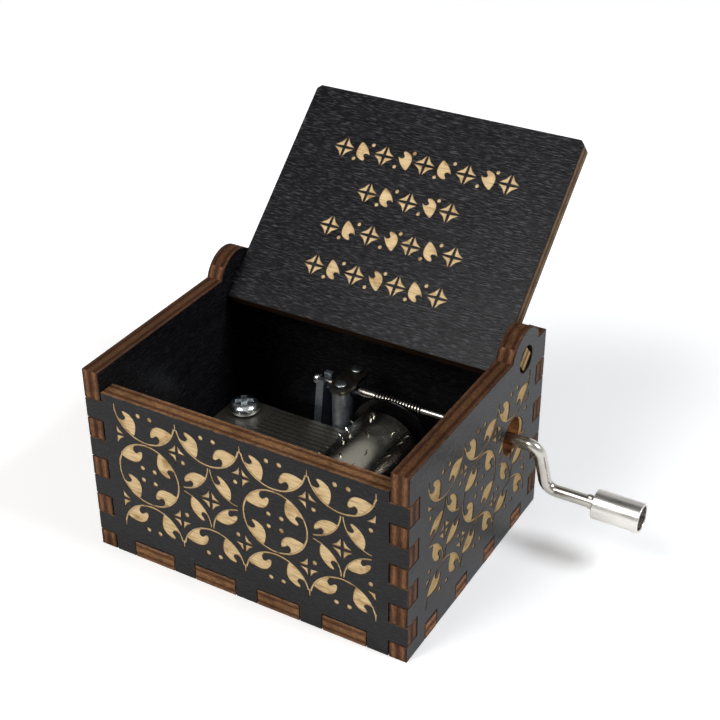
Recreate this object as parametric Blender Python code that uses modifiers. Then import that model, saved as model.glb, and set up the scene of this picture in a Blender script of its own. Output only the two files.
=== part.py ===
"""Hand-cranked music box: a finger-jointed plywood case with a comb and drum movement.

Metres, +Z up. The origin is the centre of the case's underside. The crank is on the +X side,
-Y is the front, and the lid stands open on its tight pivots.
"""

import math

import bmesh
import bpy
from mathutils import Matrix, Quaternion, Vector

# Gaps: between glued or pressed pieces, under a seated piece, and beside a moving one
JOINT_GAP = 0.0002
SEAT_GAP = 0.0003
RUN_GAP = 0.0003

# Case
PLY = 0.0034
CASE_LENGTH = 0.0640
CASE_DEPTH = 0.0516
SIDE_HEIGHT = 0.0382
BACK_DROP = 0.0004
FINGERS = 4
FINGER_HEADROOM = 0.00195
FACE_TABS = 4
FACE_TAB_WIDTH = 0.0087
FACE_TAB_PITCH = 0.01325
SIDE_TABS = 4
SIDE_TAB_WIDTH = 0.0042
SIDE_TAB_PITCH = 0.0114
EAR_RADIUS = 0.0059
CRANK_HOLE_RADIUS = 0.0036
CRANK_HOLE_RISE = 0.0006

# Lid
LID_LEAN = math.radians(48.3)
LID_DROP = 0.0001
LID_SETBACK = 0.0012
LID_CORNER = 0.0008
PIVOT_TO_BACK = 0.0051
PIVOT_TAB_WIDTH = 0.0036
PIVOT_TAB_INSET = 0.0002
PIVOT_PLAY = 0.00013

# Drum
DRUM_X = 0.0085
DRUM_Y = -0.0024
DRUM_RISE = 0.0113
DRUM_RADIUS = 0.0070
DRUM_WALL = 0.0005
DRUM_OVERHANG = 0.00085
CAP_THICKNESS = 0.0016
HUB_RADIUS = 0.0026
ARBOR_RADIUS = 0.0010
PIN_RADIUS = 0.0002
PIN_HEIGHT = 0.0007
MELODY_STEPS = 40

# Worm and drive gear
SHAFT_Y = 0.0130
THREAD_PITCH = 0.00062
THREAD_CREST = 0.0012
THREAD_ROOT = 0.0009
THREAD_HALF_WIDTH = 0.00029
THREAD_TURNS_INWARD = 6
THREAD_TURNS_OUTWARD = 12
MESH_GAP = 0.00008
GEAR_TEETH = 60
GEAR_WIDTH = 0.0016
GEAR_WEB_RADIUS = 0.0042
TOOTH_CREST_WIDTH = 0.00012
TOOTH_FOOT_WIDTH = 0.00036
FLANGE_RADIUS = 0.00835
FLANGE_THICKNESS = 0.0006
FLANGE_STANDOFF = 0.0007

# Comb
COMB_TEETH = 18
TOOTH_PITCH = 0.00115
TOOTH_SLOT = 0.0002
TOOTH_LENGTH = 0.0153
COMB_HEEL = 0.0088
COMB_RISE = 0.0010
COMB_THICKNESS = 0.0016
TOOTH_ROOT_THICKNESS = 0.0011
TOOTH_TIP_THICKNESS = 0.0006
COMB_CORNER = 0.0026
COMB_SCREW_SPAN = 0.0132
COMB_SCREW_INSET = 0.0037
WEIGHTS = 8
WEIGHT_SETBACK = 0.0013
WEIGHT_HEIGHT = 0.0012
WEIGHT_SHORTEST = 0.0010
WEIGHT_STEP = 0.0004

# Bedplate
BED_THICKNESS = 0.0022
BED_MARGIN = 0.0011
BED_CORNER = 0.0030
BEARING_THICKNESS = 0.0020
BEARING_RADIUS = 0.0030
FORK_X = -0.0080
FORK_THICKNESS = 0.00155
FORK_WIDTH = 0.0046
FORK_ABOVE_SHAFT = 0.0012
POST_X = -0.0016
POST_SPAN = 0.0060
POST_RADIUS = 0.0017
SADDLE_WIDTH = 0.0026

# Retainer plate and rivets
RETAINER_THICKNESS = 0.0008
RETAINER_WIDTH = 0.0043
RIVET_RADIUS = 0.0008
RIVET_HEAD_RADIUS = 0.00115
RIVET_HEAD_HEIGHT = 0.00035
RIVET_DEPTH = 0.0013

# Crank
SHAFT_RADIUS = 0.00095
HANDLE_RADIUS = 0.00115
HEAD_RADIUS = 0.0013
HEAD_LENGTH = 0.0012
CRANK_TURN = math.radians(11.1)
BEND_RADIUS = 0.0024
ARM_STANDOUT = 0.0053
ARM_LEAN = 0.0012
THROW = 0.0098
GRIP_STANDOUT = 0.0161
CRIMP_LENGTH = 0.0013
CRIMP_WIDTH = 0.0033
CRIMP_THICKNESS = 0.0011
SLEEVE_LENGTH = 0.0088
SLEEVE_RADIUS = 0.0028
SLEEVE_WALL = 0.0004
SLEEVE_FLOOR = 0.0008
GRIP_HEAD_RADIUS = 0.0017
GRIP_HEAD_LENGTH = 0.0008

# Screws
COMB_SCREW_RADIUS = 0.0013
COMB_SCREW_HEAD = 0.00285
COMB_SCREW_DOME = 0.0015
COMB_SCREW_LENGTH = 0.0060
BASE_SCREW_RADIUS = 0.0012
BASE_SCREW_HEAD = 0.0022
BASE_SCREW_CONE = 0.0011
BASE_SCREW_RIM = 0.0002
BASE_SCREW_SINK = 0.0002
BASE_SCREW_EDGE = 0.0030
CROSS_ARM = 0.0014
CROSS_SLOT = 0.0005
CROSS_DEPTH = 0.0007

# Places that follow from the sizes above
FRONT_HEIGHT = SIDE_HEIGHT - LID_DROP - PLY - SEAT_GAP
BACK_HEIGHT = SIDE_HEIGHT - BACK_DROP
FINGER_WIDTH = (FRONT_HEIGHT - FINGER_HEADROOM - PLY) / (2 * FINGERS - 1)
SIDE_INNER = CASE_LENGTH / 2 - PLY
WALL_INNER = CASE_DEPTH / 2 - PLY
PIVOT_Y = WALL_INNER - PIVOT_TO_BACK
PIVOT_Z = FRONT_HEIGHT + SEAT_GAP + PLY / 2
PIVOT_HOLE_RADIUS = math.hypot(PLY, PIVOT_TAB_WIDTH) / 2 + PIVOT_PLAY
BED_BOTTOM = PLY + SEAT_GAP
BED_TOP = BED_BOTTOM + BED_THICKNESS
DRUM_Z = BED_BOTTOM + DRUM_RISE
GEAR_PITCH_RADIUS = GEAR_TEETH * THREAD_PITCH / math.tau
SHAFT_Z = DRUM_Z + GEAR_PITCH_RADIUS + (THREAD_CREST + THREAD_ROOT) / 2
COMB_HALF = COMB_TEETH * TOOTH_PITCH / 2
DRUM_HALF = COMB_HALF + DRUM_OVERHANG
FRONT_BEARING_Y = DRUM_Y - DRUM_HALF - RUN_GAP - BEARING_THICKNESS
REAR_BEARING_Y = SHAFT_Y + GEAR_WIDTH / 2 + THREAD_CREST
REAR_BEARING_BACK = REAR_BEARING_Y + BEARING_THICKNESS
BORE_RADIUS = ARBOR_RADIUS + RUN_GAP / 2
PIN_CIRCLE = DRUM_RADIUS + PIN_HEIGHT
COMB_TOP = DRUM_Z + COMB_RISE
TOOTH_TIP_X = DRUM_X - math.sqrt(PIN_CIRCLE ** 2 - COMB_RISE ** 2) - RUN_GAP
TOOTH_ROOT_X = TOOTH_TIP_X - TOOTH_LENGTH
COMB_LEFT = TOOTH_ROOT_X - COMB_HEEL
COMB_SCREW_X = COMB_LEFT + COMB_SCREW_INSET
COMB_SCREW_YS = {"front": DRUM_Y - COMB_SCREW_SPAN / 2, "rear": DRUM_Y + COMB_SCREW_SPAN / 2}
POST_YS = {"front": SHAFT_Y - POST_SPAN / 2, "rear": SHAFT_Y + POST_SPAN / 2}
POST_TOP = SHAFT_Z + SHAFT_RADIUS + RUN_GAP / 2
RIVET_HOLE_RADIUS = RIVET_RADIUS + SEAT_GAP / 2
BED_LEFT = COMB_LEFT - BED_MARGIN
BED_RIGHT = DRUM_X + FLANGE_RADIUS + BED_MARGIN
BED_FRONT = FRONT_BEARING_Y - BED_MARGIN
BED_BACK = max(POST_YS["rear"] + POST_RADIUS, REAR_BEARING_BACK) + BED_MARGIN
BASE_SCREW_PLACES = (
    (BED_LEFT + BASE_SCREW_EDGE, BED_BACK - BASE_SCREW_EDGE),
    (FORK_X, BED_FRONT + BASE_SCREW_EDGE),
    (BED_RIGHT - BASE_SCREW_EDGE, BED_BACK - BASE_SCREW_EDGE),
)
ARM_X = CASE_LENGTH / 2 + ARM_STANDOUT
GRIP_X = CASE_LENGTH / 2 + GRIP_STANDOUT


def collection(name):
    group = bpy.data.collections.new(name)
    bpy.context.scene.collection.children.link(group)
    return group


def material(name, colour, roughness, metallic):
    """Plain Principled material for one sub-part."""
    finish = bpy.data.materials.new(name + "_finish")
    finish.use_nodes = True
    shader = finish.node_tree.nodes["Principled BSDF"]
    shader.inputs["Base Color"].default_value = (*colour, 1.0)
    shader.inputs["Roughness"].default_value = roughness
    shader.inputs["Metallic"].default_value = metallic
    return finish


def stained_ply(name):
    return material(name, (0.040, 0.040, 0.044), 0.62, 0.0)


def nickel(name):
    return material(name, (0.78, 0.76, 0.72), 0.16, 1.0)


def zinc(name):
    return material(name, (0.50, 0.52, 0.56), 0.38, 1.0)


def steel(name):
    return material(name, (0.33, 0.31, 0.28), 0.36, 1.0)


def lead(name):
    return material(name, (0.22, 0.22, 0.23), 0.60, 1.0)


def black_plastic(name):
    return material(name, (0.020, 0.020, 0.021), 0.45, 0.0)


def place(name, data, finish, parent=None):
    """Object for one sub-part, in the parts' collection, with its finish."""
    piece = bpy.data.objects.new(name, data)
    if not data.materials:
        data.materials.append(finish)
    piece.parent = parent
    PARTS.objects.link(piece)
    return piece


def axis_empty(name, location, rotation, parent=None):
    """Empty on a joint's axis; what moves with the joint hangs from it."""
    empty = bpy.data.objects.new(name, None)
    empty.empty_display_size = 0.005
    empty.location = location
    empty.rotation_euler = rotation
    empty.parent = parent
    PARTS.objects.link(empty)
    return empty


def tool(name, mesh, parent=None):
    """Hidden object that a Boolean modifier cuts or joins with."""
    cutter = bpy.data.objects.new(name, mesh)
    cutter.display_type = "WIRE"
    cutter.hide_render = True
    cutter.parent = parent
    TOOLS.objects.link(cutter)
    return cutter


def boolean(piece, operation, cutter):
    step = piece.modifiers.new(cutter.name, "BOOLEAN")
    step.operation = operation
    step.solver = "EXACT"
    step.object = cutter


def mesh_from(name, shape):
    mesh = bpy.data.meshes.new(name)
    shape.to_mesh(mesh)
    shape.free()
    return mesh


def add_block(shape, low, high):
    """Box between two corners."""
    low = Vector(low)
    high = Vector(high)
    made = bmesh.ops.create_cube(shape, size=1.0)["verts"]
    size = Matrix.Diagonal((*(high - low), 1.0))
    bmesh.ops.transform(shape, matrix=Matrix.Translation((low + high) / 2) @ size, verts=made)
    return made


def add_rod(shape, start, end, radius, segments=24):
    """Round bar between two points."""
    start = Vector(start)
    end = Vector(end)
    made = bmesh.ops.create_cone(shape, cap_ends=True, segments=segments, radius1=radius,
                                 radius2=radius, depth=(end - start).length)["verts"]
    turn = Vector((0, 0, 1)).rotation_difference(end - start).to_matrix().to_4x4()
    bmesh.ops.transform(shape, matrix=Matrix.Translation((start + end) / 2) @ turn, verts=made)


def sheet_curve(name, outlines, thickness):
    """Flat curve of closed outlines in its XY plane, filled and extruded to the thickness."""
    curve = bpy.data.curves.new(name, "CURVE")
    curve.dimensions = "2D"
    curve.fill_mode = "BOTH"
    curve.extrude = thickness / 2
    for outline in outlines:
        spline = curve.splines.new("POLY")
        spline.points.add(len(outline) - 1)
        for point, (across, along) in zip(spline.points, outline):
            point.co = (across, along, 0.0, 1.0)
        spline.use_cyclic_u = True
    return curve


def as_mesh(piece):
    """Mesh object in place of a curve object, with its caps welded, ready for Booleans."""
    bpy.context.view_layer.update()
    graph = bpy.context.evaluated_depsgraph_get()
    mesh = bpy.data.meshes.new_from_object(piece.evaluated_get(graph))
    shape = bmesh.new()
    shape.from_mesh(mesh)
    bmesh.ops.remove_doubles(shape, verts=shape.verts, dist=0.000001)
    shape.to_mesh(mesh)
    shape.free()
    name = piece.name
    parent = piece.parent
    world = piece.matrix_world.copy()
    finish = piece.data.materials[0]
    bpy.data.objects.remove(piece, do_unlink=True)
    solid = place(name, mesh, finish, parent)
    solid.matrix_world = world
    return solid


def sheet(name, outline, thickness, finish, location, parent=None):
    """Flat mesh piece, its top and bottom one whole face each, centred on its height."""
    piece = place(name, sheet_curve(name, [outline], thickness), finish, parent)
    piece.location = location
    piece = as_mesh(piece)
    shape = bmesh.new()
    shape.from_mesh(piece.data)
    for side in (-1, 1):
        filling = [face for face in shape.faces if all(side * vert.co.z > 0 for vert in face.verts)]
        bmesh.ops.dissolve_faces(shape, faces=filling)
    shape.to_mesh(piece.data)
    shape.free()
    return piece


def profile_mesh(name, profile, closed=False):
    """Edges of a turned piece's profile in the XZ plane, top to bottom on its outer side."""
    shape = bmesh.new()
    corners = [shape.verts.new((radius, 0.0, height)) for radius, height in profile]
    for first, second in zip(corners, corners[1:]):
        shape.edges.new((first, second))
    if closed:
        shape.edges.new((corners[-1], corners[0]))
    return mesh_from(name, shape)


def turn(piece, segments):
    """Turn the piece's profile once round its Z axis."""
    lathe = piece.modifiers.new("turned", "SCREW")
    lathe.axis = "Z"
    lathe.angle = math.tau
    lathe.steps = segments
    lathe.render_steps = segments
    lathe.use_merge_vertices = True
    lathe.merge_threshold = 0.00001
    return piece


def circle(centre, radius, segments):
    return arc(centre, radius, 0.0, math.tau, segments)[:-1]


def arc(centre, radius, start, end, steps):
    """Points from the start angle to the end angle, both included."""
    angles = [start + (end - start) * step / steps for step in range(steps + 1)]
    return [(centre[0] + radius * math.cos(angle), centre[1] + radius * math.sin(angle))
            for angle in angles]


def rounded_rectangle(low, high, radius, steps=6):
    corners = (high[0] - radius, high[1] - radius), (low[0] + radius, high[1] - radius), \
              (low[0] + radius, low[1] + radius), (high[0] - radius, low[1] + radius)
    outline = []
    for quarter, centre in enumerate(corners):
        start = quarter * math.pi / 2
        outline += arc(centre, radius, start, start + math.pi / 2, steps)
    return outline


# Edges of the laser-cut boards

def spaced(count, pitch, width):
    """Low and high ends of equal tabs, centred on zero."""
    middles = [(step - (count - 1) / 2) * pitch for step in range(count)]
    return [(middle - width / 2, middle + width / 2) for middle in middles]


def finger_heights():
    """Heights of the fingers of the front and back panels."""
    lows = [PLY + 2 * step * FINGER_WIDTH for step in range(FINGERS)]
    return [(low, low + FINGER_WIDTH) for low in lows]


def stepped(spans, grow, reach):
    """Points (along, out) of an edge that steps out by reach over each span."""
    points = []
    for low, high in spans:
        points += [(low - grow, 0.0), (low - grow, reach), (high + grow, reach), (high + grow, 0.0)]
    return points


def wall_outline(height):
    """Front or back panel in X and Z, with fingers at both ends and notches below."""
    half = SIDE_INNER - JOINT_GAP
    tabs = spaced(FACE_TABS, FACE_TAB_PITCH, FACE_TAB_WIDTH)
    fingers = stepped(finger_heights(), -JOINT_GAP / 2, CASE_LENGTH / 2 - half)
    outline = [(-half, 0.0)]
    outline += stepped(tabs, JOINT_GAP / 2, PLY + JOINT_GAP)
    outline.append((half, 0.0))
    outline += [(half + out, along) for along, out in fingers]
    outline += [(half, height), (-half, height)]
    outline += [(-half - out, along) for along, out in reversed(fingers)]
    return outline


def side_outline():
    """Side panel in Y and Z, with the ear that carries the lid's pivot."""
    half = CASE_DEPTH / 2
    tabs = spaced(SIDE_TABS, SIDE_TAB_PITCH, SIDE_TAB_WIDTH)
    notches = stepped(finger_heights(), JOINT_GAP / 2, PLY + JOINT_GAP)
    ear_rear = math.acos(PIVOT_TO_BACK / EAR_RADIUS)
    ear_foot = math.pi - math.asin((SIDE_HEIGHT - PIVOT_Z) / EAR_RADIUS)
    outline = [(-half, 0.0)]
    outline += stepped(tabs, JOINT_GAP / 2, PLY + JOINT_GAP)
    outline.append((half, 0.0))
    outline += [(half - out, along) for along, out in notches]
    outline += [(half, SIDE_HEIGHT), (WALL_INNER, SIDE_HEIGHT)]
    outline += arc((PIVOT_Y, PIVOT_Z), EAR_RADIUS, ear_rear, ear_foot, 16)
    outline.append((-half, SIDE_HEIGHT))
    outline += [(-half + out, along) for along, out in reversed(notches)]
    return outline


def bottom_outline():
    half_x = SIDE_INNER - JOINT_GAP
    half_y = WALL_INNER - JOINT_GAP
    face = stepped(spaced(FACE_TABS, FACE_TAB_PITCH, FACE_TAB_WIDTH),
                   -JOINT_GAP / 2, CASE_DEPTH / 2 - half_y)
    side = stepped(spaced(SIDE_TABS, SIDE_TAB_PITCH, SIDE_TAB_WIDTH),
                   -JOINT_GAP / 2, CASE_LENGTH / 2 - half_x)
    outline = [(-half_x, -half_y)]
    outline += [(along, -half_y - out) for along, out in face]
    outline.append((half_x, -half_y))
    outline += [(half_x + out, along) for along, out in side]
    outline.append((half_x, half_y))
    outline += [(along, half_y + out) for along, out in reversed(face)]
    outline.append((-half_x, half_y))
    outline += [(-half_x - out, along) for along, out in reversed(side)]
    return outline


def upright_board(name, outlines, x, y, quarter_turn):
    """Board that stands up, facing the front or turned to face a side."""
    board = place(name, sheet_curve(name, outlines, PLY), stained_ply(name))
    board.location = (x, y, 0)
    board.rotation_euler = (math.pi / 2, 0, quarter_turn * math.pi / 2)


def case(screw_holes):
    """The five glued boards; the crank's hole is only in the right one."""
    wall_y = CASE_DEPTH / 2 - PLY / 2
    side_x = CASE_LENGTH / 2 - PLY / 2
    pivot_hole = circle((PIVOT_Y, PIVOT_Z), PIVOT_HOLE_RADIUS, 24)
    crank_hole = circle((SHAFT_Y, SHAFT_Z + CRANK_HOLE_RISE), CRANK_HOLE_RADIUS, 28)
    upright_board("front_panel", [wall_outline(FRONT_HEIGHT)], 0, -wall_y, 0)
    upright_board("back_panel", [wall_outline(BACK_HEIGHT)], 0, wall_y, 0)
    upright_board("left_side_panel", [side_outline(), pivot_hole], -side_x, 0, 1)
    upright_board("right_side_panel", [side_outline(), pivot_hole, crank_hole], side_x, 0, 1)
    finish = stained_ply("bottom_panel")
    bottom = sheet("bottom_panel", bottom_outline(), PLY, finish, (0, 0, PLY / 2))
    for hole in screw_holes:
        boolean(bottom, "DIFFERENCE", hole)


def lid():
    """Lid in its own frame: the pivot's axis is X, and Y points to the free edge."""
    pivot = axis_empty("lid_axis", (0, PIVOT_Y, PIVOT_Z), (math.pi / 2 - LID_LEAN, 0, 0))
    half = SIDE_INNER - RUN_GAP
    tab = CASE_LENGTH / 2 - PIVOT_TAB_INSET
    rear = math.sqrt((PIVOT_TO_BACK - RUN_GAP) ** 2 - (PLY / 2) ** 2)
    free = PIVOT_Y + CASE_DEPTH / 2 - LID_SETBACK
    right = [(half, -rear), (half, -PIVOT_TAB_WIDTH / 2), (tab, -PIVOT_TAB_WIDTH / 2),
             (tab, PIVOT_TAB_WIDTH / 2), (half, PIVOT_TAB_WIDTH / 2),
             (half, free - LID_CORNER), (half - LID_CORNER, free)]
    outline = right + [(-x, y) for x, y in reversed(right)]
    place("lid", sheet_curve("lid", [outline], PLY), stained_ply("lid"), pivot)


# Screws and rivets

def cut_cross(screw, face):
    """Crossed slots in a screw's head, cut about the height of its outer face."""
    for quarter in range(2):
        bar = bmesh.new()
        add_block(bar, (-CROSS_ARM, -CROSS_SLOT / 2, -CROSS_DEPTH),
                  (CROSS_ARM, CROSS_SLOT / 2, CROSS_DEPTH))
        slot = tool(f"{screw.name}_slot_{quarter + 1}", mesh_from("cross_slot", bar))
        slot.location = screw.location + Vector((0, 0, face))
        slot.rotation_euler.z = quarter * math.pi / 2
        boolean(screw, "DIFFERENCE", slot)


def base_screws():
    """Countersunk screws that come up through the bottom panel into the bedplate."""
    cone_top = BASE_SCREW_RIM + BASE_SCREW_CONE
    tip = BED_TOP - BASE_SCREW_SINK
    profile = [(0.0, tip), (BASE_SCREW_RADIUS, tip), (BASE_SCREW_RADIUS, cone_top),
               (BASE_SCREW_HEAD, BASE_SCREW_RIM), (BASE_SCREW_HEAD, 0.0), (0.0, 0.0)]
    mesh = profile_mesh("base_screw", profile)
    finish = nickel("base_screw")
    for number, (x, y) in enumerate(BASE_SCREW_PLACES, start=1):
        screw = turn(place(f"base_screw_{number}", mesh, finish), 24)
        screw.location = (x, y, BASE_SCREW_SINK)
        cut_cross(screw, 0.0)


def base_screw_holes():
    """Tools for the holes of the base screws, from under the case to above the bedplate."""
    hole = BASE_SCREW_RADIUS + SEAT_GAP
    sink = BASE_SCREW_HEAD + SEAT_GAP
    above = BED_TOP + PLY
    profile = [(0.0, above), (hole, above), (hole, BASE_SCREW_RIM + BASE_SCREW_CONE + SEAT_GAP),
               (sink, BASE_SCREW_RIM + SEAT_GAP), (sink, -PLY), (0.0, -PLY)]
    mesh = profile_mesh("base_screw_hole", profile)
    holes = []
    for number, (x, y) in enumerate(BASE_SCREW_PLACES, start=1):
        cutter = turn(tool(f"base_screw_hole_{number}", mesh), 24)
        cutter.location = (x, y, BASE_SCREW_SINK)
        holes.append(cutter)
    return holes


def comb_screws():
    """Pan-head screws that clamp the comb on its seat."""
    profile = [(0.0, COMB_SCREW_DOME), (0.55 * COMB_SCREW_HEAD, 0.88 * COMB_SCREW_DOME),
               (0.86 * COMB_SCREW_HEAD, 0.58 * COMB_SCREW_DOME),
               (COMB_SCREW_HEAD, 0.2 * COMB_SCREW_DOME), (COMB_SCREW_HEAD, 0.0),
               (COMB_SCREW_RADIUS, 0.0), (COMB_SCREW_RADIUS, -COMB_SCREW_LENGTH),
               (0.0, -COMB_SCREW_LENGTH)]
    mesh = profile_mesh("comb_screw", profile)
    finish = zinc("comb_screw")
    for end, y in COMB_SCREW_YS.items():
        screw = turn(place(f"comb_screw_{end}", mesh, finish), 24)
        screw.location = (COMB_SCREW_X, y, COMB_TOP + SEAT_GAP)
        cut_cross(screw, COMB_SCREW_DOME)


def retainer():
    """Plate over the shaft, and the two rivets that go through it into the posts."""
    outline = arc((0, POST_SPAN / 2), RETAINER_WIDTH / 2, 0, math.pi, 12)
    outline += arc((0, -POST_SPAN / 2), RETAINER_WIDTH / 2, math.pi, math.tau, 12)
    holes = [circle((0, side * POST_SPAN / 2), RIVET_HOLE_RADIUS, 16) for side in (-1, 1)]
    flat = sheet_curve("retainer_plate", [outline] + holes, RETAINER_THICKNESS)
    plate = place("retainer_plate", flat, steel("retainer_plate"))
    plate.location = (POST_X, SHAFT_Y, POST_TOP + SEAT_GAP + RETAINER_THICKNESS / 2)
    seat = POST_TOP + 2 * SEAT_GAP + RETAINER_THICKNESS
    end = POST_TOP - RIVET_DEPTH - seat
    profile = [(0.0, RIVET_HEAD_HEIGHT), (0.7 * RIVET_HEAD_RADIUS, 0.85 * RIVET_HEAD_HEIGHT),
               (RIVET_HEAD_RADIUS, 0.4 * RIVET_HEAD_HEIGHT), (RIVET_HEAD_RADIUS, 0.0),
               (RIVET_RADIUS, 0.0), (RIVET_RADIUS, end), (0.0, end)]
    mesh = profile_mesh("retainer_rivet", profile)
    finish = zinc("retainer_rivet")
    for side, y in POST_YS.items():
        rivet = turn(place(f"retainer_rivet_{side}", mesh, finish), 20)
        rivet.location = (POST_X, y, seat)


# Bedplate

def bedplate(screw_holes):
    """Zinc casting: plate, comb seat, two drum bearings, forked post and retainer posts."""
    outline = rounded_rectangle((BED_LEFT, BED_FRONT), (BED_RIGHT, BED_BACK), BED_CORNER)
    foot = (BED_BOTTOM + BED_TOP) / 2
    plate = sheet("bedplate", outline, BED_THICKNESS, zinc("bedplate"), (0, 0, foot))
    seat_top = COMB_TOP - COMB_THICKNESS - SEAT_GAP

    uprights = bmesh.new()
    add_block(uprights, (COMB_LEFT, DRUM_Y - COMB_HALF, foot),
              (TOOTH_ROOT_X, DRUM_Y + COMB_HALF, seat_top))
    add_block(uprights, (FORK_X - FORK_THICKNESS / 2, SHAFT_Y - FORK_WIDTH / 2, foot),
              (FORK_X + FORK_THICKNESS / 2, SHAFT_Y + FORK_WIDTH / 2, SHAFT_Z + FORK_ABOVE_SHAFT))
    for y in POST_YS.values():
        add_rod(uprights, (POST_X, y, foot), (POST_X, y, POST_TOP), POST_RADIUS)
    for y in (FRONT_BEARING_Y, REAR_BEARING_Y):
        add_block(uprights, (DRUM_X - BEARING_RADIUS, y, foot),
                  (DRUM_X + BEARING_RADIUS, y + BEARING_THICKNESS, DRUM_Z))
    boolean(plate, "UNION", tool("uprights", mesh_from("uprights", uprights)))

    tops = bmesh.new()
    add_block(tops, (POST_X - SADDLE_WIDTH / 2, POST_YS["front"], foot),
              (POST_X + SADDLE_WIDTH / 2, POST_YS["rear"], SHAFT_Z - SHAFT_RADIUS - RUN_GAP / 2))
    for y in (FRONT_BEARING_Y, REAR_BEARING_Y):
        add_rod(tops, (DRUM_X, y, DRUM_Z), (DRUM_X, y + BEARING_THICKNESS, DRUM_Z), BEARING_RADIUS)
    boolean(plate, "UNION", tool("saddle_and_bearing_tops", mesh_from("tops", tops)))

    bores = bmesh.new()
    add_rod(bores, (DRUM_X, BED_FRONT, DRUM_Z), (DRUM_X, BED_BACK, DRUM_Z), BORE_RADIUS)
    slot = SHAFT_RADIUS + RUN_GAP
    add_block(bores, (FORK_X - FORK_THICKNESS, SHAFT_Y - slot, SHAFT_Z - slot),
              (FORK_X + FORK_THICKNESS, SHAFT_Y + slot, SHAFT_Z + FORK_ABOVE_SHAFT + FORK_WIDTH))
    for y in POST_YS.values():
        add_rod(bores, (POST_X, y, POST_TOP - RIVET_DEPTH - SEAT_GAP), (POST_X, y, SIDE_HEIGHT),
                RIVET_HOLE_RADIUS)
    for y in COMB_SCREW_YS.values():
        add_rod(bores, (COMB_SCREW_X, y, seat_top - COMB_SCREW_LENGTH),
                (COMB_SCREW_X, y, COMB_TOP), COMB_SCREW_RADIUS + SEAT_GAP)
    boolean(plate, "DIFFERENCE", tool("bores", mesh_from("bores", bores)))
    for hole in screw_holes:
        boolean(plate, "DIFFERENCE", hole)


# Comb

def comb():
    """Flat spring-steel plate with its teeth cut from the drum's side and thinned below."""
    spans = spaced(COMB_TEETH, TOOTH_PITCH, TOOTH_PITCH - TOOTH_SLOT)
    teeth = [(TOOTH_ROOT_X + out, along) for along, out in stepped(spans, 0.0, TOOTH_LENGTH)]
    heel = COMB_LEFT + COMB_CORNER
    outline = [(heel, -COMB_HALF), (TOOTH_ROOT_X, -COMB_HALF)] + teeth
    outline += [(TOOTH_ROOT_X, COMB_HALF), (heel, COMB_HALF),
                (COMB_LEFT, COMB_HALF - COMB_CORNER), (COMB_LEFT, COMB_CORNER - COMB_HALF)]
    middle = (0, DRUM_Y, COMB_TOP - COMB_THICKNESS / 2)
    plate = sheet("comb", outline, COMB_THICKNESS, steel("comb"), middle)
    holes = bmesh.new()
    for y in COMB_SCREW_YS.values():
        add_rod(holes, (COMB_SCREW_X, y, BED_TOP), (COMB_SCREW_X, y, SIDE_HEIGHT),
                COMB_SCREW_RADIUS + SEAT_GAP)
    boolean(plate, "DIFFERENCE", tool("comb_holes", mesh_from("comb_holes", holes)))
    relief = bmesh.new()
    corners = add_block(relief, (TOOTH_ROOT_X, DRUM_Y - 2 * COMB_HALF, BED_TOP),
                        (TOOTH_TIP_X, DRUM_Y + 2 * COMB_HALF, COMB_TOP - TOOTH_ROOT_THICKNESS))
    tips = [corner for corner in corners if corner.co.x > TOOTH_ROOT_X + TOOTH_LENGTH / 2]
    bmesh.ops.translate(relief, verts=tips, vec=(RUN_GAP, 0, 0))
    raised = [tip for tip in tips if tip.co.z > COMB_TOP - COMB_THICKNESS]
    bmesh.ops.translate(relief, verts=raised, vec=(0, 0, TOOTH_ROOT_THICKNESS - TOOTH_TIP_THICKNESS))
    boolean(plate, "DIFFERENCE", tool("tooth_relief", mesh_from("tooth_relief", relief)))


def comb_weights():
    """Lead weights soldered under the bass teeth, longer towards the front."""
    end = TOOTH_TIP_X - WEIGHT_SETBACK
    taper = (TOOTH_ROOT_THICKNESS - TOOTH_TIP_THICKNESS) / TOOTH_LENGTH
    finish = lead("comb_weight")
    for number in range(WEIGHTS):
        name = f"comb_weight_{number + 1}"
        length = WEIGHT_SHORTEST + (WEIGHTS - 1 - number) * WEIGHT_STEP
        width = TOOTH_PITCH - 2 * TOOTH_SLOT
        block = bmesh.new()
        add_block(block, (-length, -width / 2, -WEIGHT_HEIGHT), (0, width / 2, 0))
        weight = place(name, mesh_from(name, block), finish)
        tooth_thickness = TOOTH_TIP_THICKNESS + taper * (WEIGHT_SETBACK + length)
        weight.location = (end, DRUM_Y - COMB_HALF + (number + 0.5) * TOOTH_PITCH,
                           COMB_TOP - tooth_thickness - JOINT_GAP)


# Drum, in the frame of its axle: local Z runs along world Y, from the drum's middle

def pin_places():
    """Track and step of each pin: a run over the tracks, with a chord now and then."""
    places = set()
    for step in range(MELODY_STEPS):
        places.add((7 * step % COMB_TEETH, step))
        if step % 4 == 0:
            places.add((5 * step // 4 % COMB_TEETH, step))
        if step % 8 == 3:
            places.add((3 * step % COMB_TEETH, step))
            places.add(((3 * step + 2) % COMB_TEETH, step))
    return sorted(places)


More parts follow.
